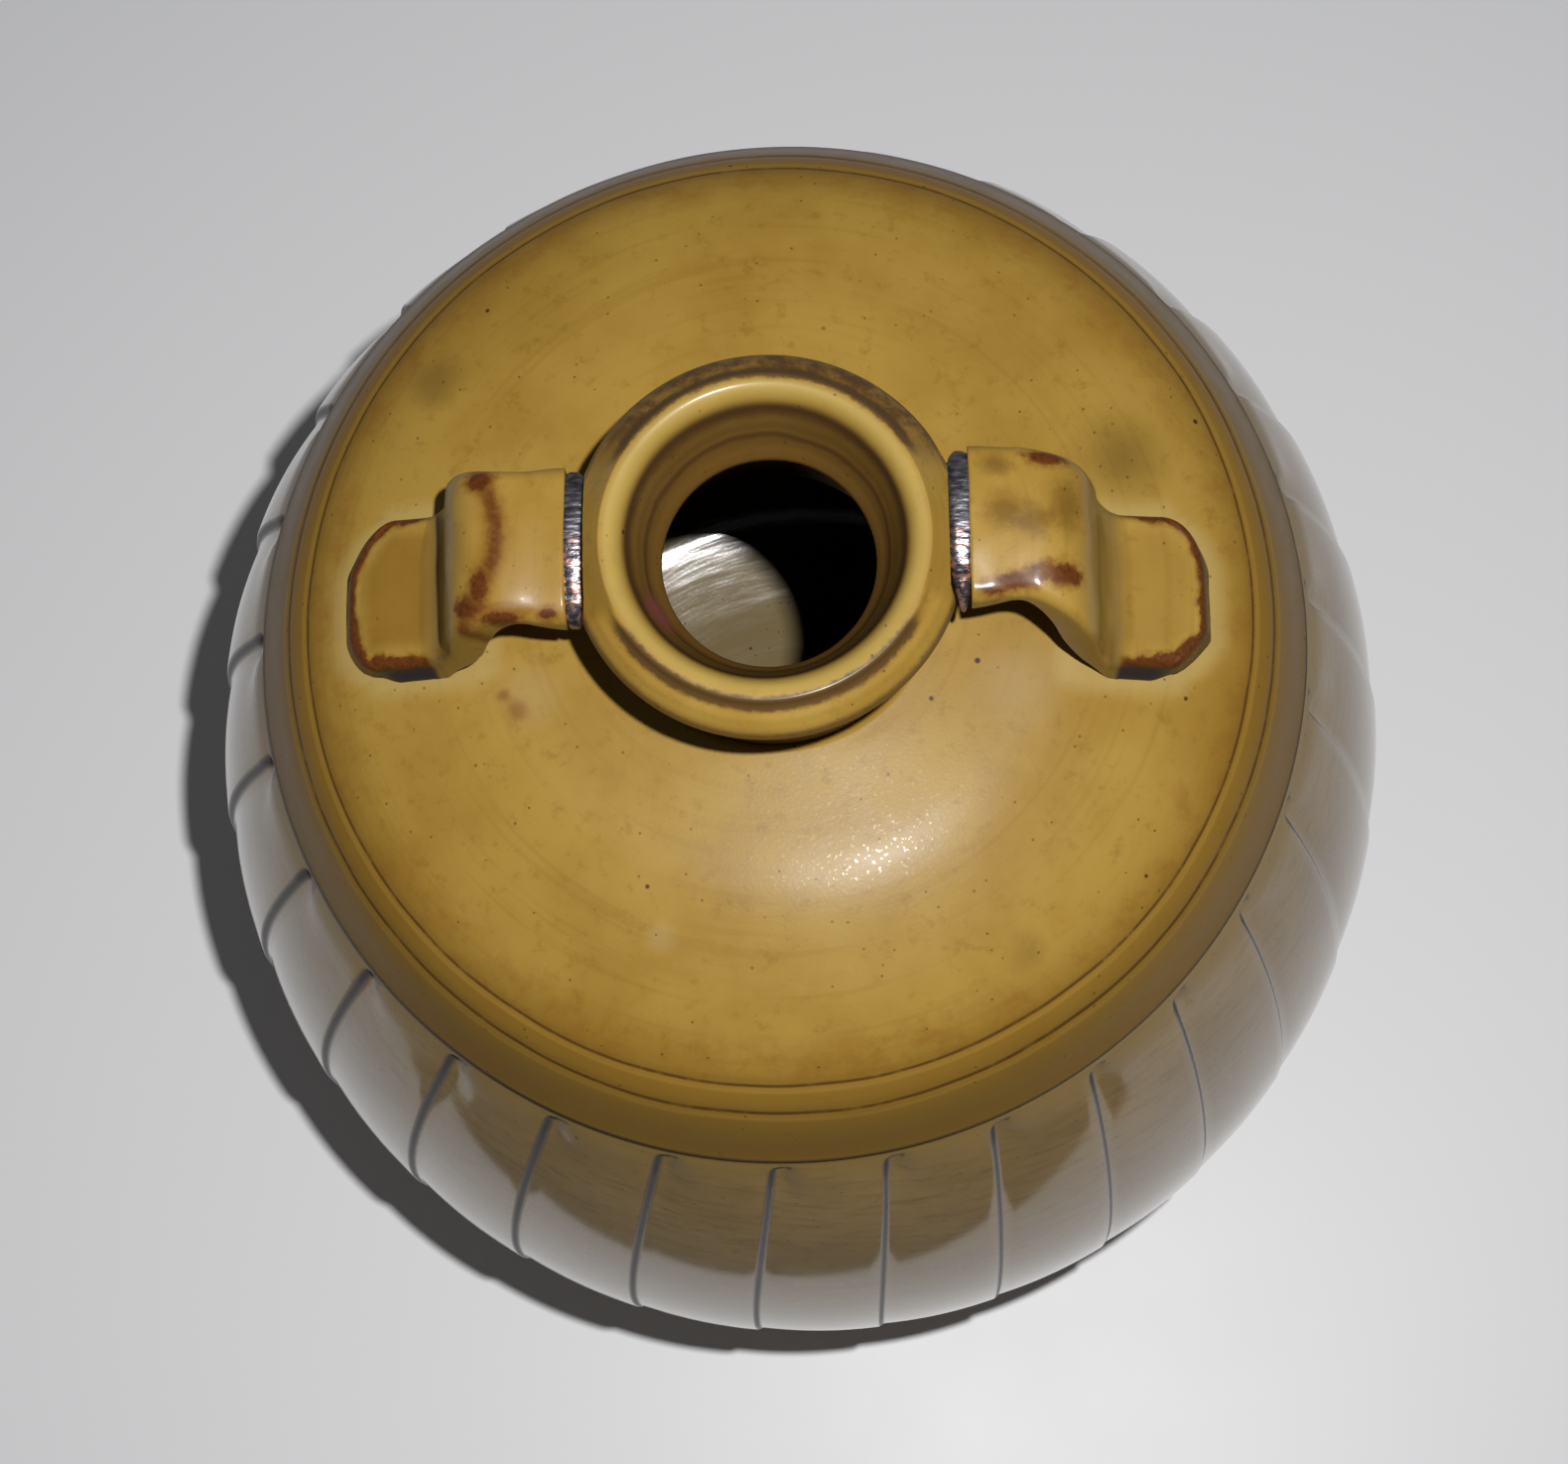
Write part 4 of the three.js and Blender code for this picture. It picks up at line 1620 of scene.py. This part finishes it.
    @staticmethod
    def edges_of(clay: bmesh.types.BMesh, ring: list[bmesh.types.BMVert]) -> list[bmesh.types.BMEdge]:
        """Gives the edges of a ring of points, in the order of its points."""
        return [clay.edges.get(pair) for pair in zip(ring, [*ring[1:], ring[0]])]

    def next_ring(
        self, clay: bmesh.types.BMesh, rings: list[list[bmesh.types.BMVert]], count: int
    ) -> list[bmesh.types.BMVert]:
        """Starts the strap with a ring of points, or draws its last ring out by one station.

        Args:
            clay: The mesh.
            rings: The rings so far.
            count: The number of points in a ring.

        Returns:
            The new ring, in the same order.
        """
        if not rings:
            return bmesh.ops.create_circle(clay, cap_ends=False, segments=count, radius=1.0)["verts"]
        drawn = bmesh.ops.extrude_edge_only(clay, edges=self.edges_of(clay, rings[-1]))["geom"]
        fresh = {part for part in drawn if isinstance(part, bmesh.types.BMVert)}
        return [
            next(edge.other_vert(vertex) for edge in vertex.link_edges if edge.other_vert(vertex) in fresh)
            for vertex in rings[-1]
        ]

    def place(
        self,
        vertex: bmesh.types.BMVert,
        layers: dict[str, Any],
        pair: Patch,
        half: float,
        spot: Spot,
    ) -> None:
        """Puts one point of the strap's skin in its place.

        Args:
            vertex: The point.
            layers: The layers that hold its place on the strap.
            pair: The top and the underside at its station.
            half: Half the width there.
            spot: The length along the top, the share across and the share upwards.
        """
        (top_x, top_z), (low_x, low_z) = pair
        along, across, share = spot
        x = low_x + (top_x - low_x) * share
        z = low_z + (top_z - low_z) * share
        end = self.outer(half * across)
        first = self.leg + 1.6
        if x > first:
            x = first + (x - first) * (end - first) / (self.end - first)
        turn = self.end - self.corner(across).length
        on_tab = between(self.leg - 1, self.leg + 4, x)
        flare = on_tab * (1 - between(turn - 3.0, turn + 0.5, x)) * (1 - min(1.0, 1.6 * share))
        skirt = self.slope + (self.skirt if across < 0 else 0.0)
        beside = (half - self.slope * on_tab + skirt * flare) * across
        slant = (self.outer(half * across + 0.05) - self.outer(half * across - 0.05)) / 0.1
        on_dome = between(self.leg - 3, self.leg + 3, x) * (1 - between(163, 174, z))
        dome = Shoulder.surface(math.hypot(x, beside + self.aside))
        fall = dome - Shoulder.surface(low_x + (top_x - low_x) * share)
        crown = self.crown * (1 - on_dome) * share * across ** 2
        grain = Vector((x / 4.0, beside / 4.0, z / 4.0 + 9.0 * self.side.value))
        wave = self.unevenness * noise.noise(grain)
        y = beside + self.middle(x)
        vertex.co = (self.side.value * (x + wave), y, z + fall * on_dome - crown + wave * share)
        vertex[layers["along"]] = along
        vertex[layers["across"]] = y
        sides = half - abs(beside) - (0.4 if beside < 0 else 0.0)
        vertex[layers["rim"]] = min((end - x) / math.hypot(1.0, slant), sides)
        vertex[layers["low"]] = 1 - share


@dataclass
class SlipBead:
    """The crinkled bead of dark glaze between the collar and a strap."""

    low: Vector
    high: Vector
    taper: float = 0.0
    crinkle: float = 0.8
    swell: float = 1.55
    rise: float = 0.1
    droop: float = 2.1

    def build(self, name: str, node: str) -> bpy.types.Object:
        """Builds the bead.

        Args:
            name: The name of the piece.
            node: The CAD node that it stands for.

        Returns:
            The finished piece.
        """
        clay = bmesh.new()
        bmesh.ops.create_uvsphere(clay, u_segments=40, v_segments=160, radius=1.0)
        middle = (self.low + self.high) / 2
        half = (self.high - self.low) / 2
        for vertex in clay.verts:
            x, y, z = vertex.co
            around = math.atan2(y, x)
            length = math.copysign(min(1.0, abs(z)) ** 0.8, z)
            girth = math.sqrt(max(0.0, 1 - abs(length) ** 7))
            girth *= 1 - self.taper * between(0.3, 1.0, -length)
            shake = noise.noise(Vector((length * 7, 0.7 * around, 2.0)))
            ridge = math.sin(2 * math.pi * (half.y * length / self.crinkle + 0.5 * shake))
            girth *= 0.97 + 0.005 * ridge + 0.035 * noise.noise(Vector((2 * x, 2 * y, 16 * length)))
            wide = math.copysign(abs(math.cos(around)) ** 0.6, math.cos(around)) * girth
            tall = math.copysign(abs(math.sin(around)) ** 0.6, math.sin(around)) * girth
            vertex.co = (
                middle.x + half.x * self.swell * wide,
                middle.y + half.y * length + 0.15 * shake,
                self.high.z + self.rise - half.z * (1 - tall) - self.droop * length * length,
            )
        bmesh.ops.recalc_face_normals(clay, faces=clay.faces)
        return as_piece(clay, name, node, GunmetalGlaze(f"{name}_glaze", Slot.GUNMETAL))


@dataclass
class Studio:
    """The floor, the lamp, the dim room and the camera."""

    camera_at: Sequence[float] = (15.09, -100.96, 546.85)
    camera_azimuth: float = 9.57
    camera_elevation: float = 77.51
    camera_roll: float = -10.74
    lens: float = 79.36
    sensor: float = 36.0
    lamp_at: Sequence[float] = (48.8, -73.3, 561.5)
    lamp_aim: Sequence[float] = (0.0, 0.0, 60.0)
    lamp_size: float = 10.0
    lamp_watts: float = 2.4
    room: Colour = (0.95, 0.98, 1.05)
    room_light: float = 0.08
    floor_half: float = 1500.0
    floor_colour: Colour = (0.78, 0.78, 0.79)
    floor_refraction: float = 1.3
    card_azimuth: float = -100.0
    card_reach: float = 136.0
    card_half: float = 700.0
    card_colour: Colour = (0.15, 0.15, 0.15)
    card_refraction: float = 1.0

    def build(self) -> None:
        """Builds everything that isn't part of the vase."""
        self.set_camera()
        self.set_lamp()
        self.set_room()
        self.lay_floor()
        self.lay_card()
        bpy.context.scene.view_settings.view_transform = "Standard"

    def set_camera(self) -> None:
        """Sets the camera where the photograph was taken from."""
        azimuth, elevation = math.radians(self.camera_azimuth), math.radians(self.camera_elevation)
        back = Vector((
            math.sin(azimuth) * math.cos(elevation),
            -math.cos(azimuth) * math.cos(elevation),
            math.sin(elevation),
        ))
        right = Vector((math.cos(azimuth), math.sin(azimuth), 0.0))
        level = Matrix((right, back.cross(right), back)).transposed()
        turned = level @ Matrix.Rotation(math.radians(self.camera_roll), 3, "Z")
        data = bpy.data.cameras.new("camera")
        data.lens = self.lens
        data.sensor_width = self.sensor
        data.clip_start = 0.01
        data.clip_end = 20.0
        camera = bpy.data.objects.new("camera", data)
        camera.matrix_world = Matrix.Translation(Vector(self.camera_at) * METRES) @ turned.to_4x4()
        bpy.context.scene.collection.objects.link(camera)
        bpy.context.scene.camera = camera

    def set_lamp(self) -> None:
        """Sets the small soft lamp beside the camera."""
        data = bpy.data.lights.new("lamp", "AREA")
        data.shape = "DISK"
        data.size = self.lamp_size * METRES
        data.energy = self.lamp_watts
        lamp = bpy.data.objects.new("lamp", data)
        aim = Vector(self.lamp_at) - Vector(self.lamp_aim)
        lamp.location = Vector(self.lamp_at) * METRES
        lamp.rotation_euler = aim.to_track_quat("Z", "Y").to_euler()
        bpy.context.scene.collection.objects.link(lamp)

    def set_room(self) -> None:
        """Sets the dim light of the room."""
        world = bpy.data.worlds.new("room")
        world.use_nodes = True
        background = world.node_tree.nodes["Background"]
        background.inputs["Color"].default_value = (*self.room, 1.0)
        background.inputs["Strength"].default_value = self.room_light
        bpy.context.scene.world = world

    def lay_floor(self) -> None:
        """Lays the plain pale floor."""
        ground = bmesh.new()
        bmesh.ops.create_grid(ground, x_segments=4, y_segments=4, size=self.floor_half * METRES)
        mesh = bpy.data.meshes.new("floor")
        ground.to_mesh(mesh)
        ground.free()
        mesh.materials.append(Tabletop("floor", self.floor_colour, self.floor_refraction).material())
        floor = bpy.data.objects.new("floor", mesh)
        bpy.context.scene.collection.objects.link(floor)

    def lay_card(self) -> None:
        """Lays a dim card on the floor beside the vase, which only glossy surfaces show."""
        ground = bmesh.new()
        bmesh.ops.create_grid(ground, x_segments=1, y_segments=1, size=self.card_half * METRES)
        away = Vector((self.card_reach + self.card_half, 0.0, 0.5)) * METRES
        turn = Matrix.Rotation(math.radians(self.card_azimuth), 4, "Z")
        bmesh.ops.transform(ground, matrix=turn @ Matrix.Translation(away), verts=ground.verts)
        mesh = bpy.data.meshes.new("card")
        ground.to_mesh(mesh)
        ground.free()
        mesh.materials.append(Tabletop("card", self.card_colour, self.card_refraction).material())
        card = bpy.data.objects.new("card", mesh)
        card.visible_camera = False
        card.visible_diffuse = False
        card.visible_shadow = False
        bpy.context.scene.collection.objects.link(card)


def main() -> None:
    """Builds the vase piece by piece, and then the studio round it."""
    logging.basicConfig(level=logging.INFO, format="%(name)s: %(message)s")
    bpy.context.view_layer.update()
    foot_high = cad_box("foot_ring")[1]
    body_low, body_high = cad_box("fluted_body")
    shoulder_high = cad_box("shoulder")[1]
    collar_low, collar_high = cad_box("neck_collar")
    joint = Joint(height=body_high.z + LUTE_GAP / 2)
    body = FlutedBody(joint=joint, base=foot_high.z + LUTE_GAP, foot_radius=foot_high.x)
    shoulder = Shoulder(joint=joint, crown=shoulder_high.z)
    collar = Collar(top=collar_high.z, base=collar_low.z, flat=collar_high.x)
    rust = {
        Side.LEFT: (
            ((10.9, -5.6), (2.0, 1.3)), ((9.6, -3.4), (1.1, 1.7)), ((7.4, -7.0), (2.4, 0.6)),
            ((9.6, 8.6), (1.6, 1.1)), ((1.9, -6.6), (0.9, 0.5)),
        ),
        Side.RIGHT: (
            ((2.6, -5.0), (1.6, 0.75)), ((5.3, -4.3), (2.3, 0.85)), ((7.9, -3.6), (1.8, 0.95)),
            ((10.6, -3.7), (2.3, 1.15)), ((8.9, 9.6), (2.6, 0.8)),
        ),
    }
    olives = {
        Side.LEFT: (),
        Side.RIGHT: (
            ((3.9, 3.4), (2.2, 2.0)), ((11.0, 4.0), (1.9, 2.8)), ((7.0, 2.2), (2.2, 1.8)),
            ((2.9, 9.0), (1.8, 1.2)),
        ),
    }
    handles = {}
    for side, node, aside, sway, tab_shade, near_corner, far_corner in (
        (Side.LEFT, "left_handle", 1.3, 0.0, 0.75, Corner(4.2, 5.0, 0.9), Corner(6.0, 6.9, 0.6)),
        (Side.RIGHT, "right_handle", -0.7, 3.3, 0.3, Corner(4.8, 4.8, 0.4), Corner(5.2, 6.6, 0.85)),
    ):
        low, high = cad_box(node)
        near, far = (low.x, high.x) if side is Side.RIGHT else (-high.x, -low.x)
        handles[side] = StrapHandle(
            side, near, far, high.z, aside, sway, near_corner, far_corner, tab_shade,
            spots=rust[side], olives=olives[side],
        )
    FootRing(radius=foot_high.x, height=foot_high.z).build()
    body.build()
    shoulder.build(list(handles.values()))
    collar.build({side: handle.middle(handle.start) for side, handle in handles.items()})
    handles[Side.LEFT].build("left_strap", "left_handle")
    handles[Side.RIGHT].build("right_strap", "right_handle")
    SlipBead(*cad_box("left_joint_bead")).build("left_slip_bead", "left_joint_bead")
    SlipBead(*cad_box("right_joint_bead"), taper=0.6).build("right_slip_bead", "right_joint_bead")
    Studio().build()
    bpy.context.view_layer.update()


if __name__ == "__main__":
    main()
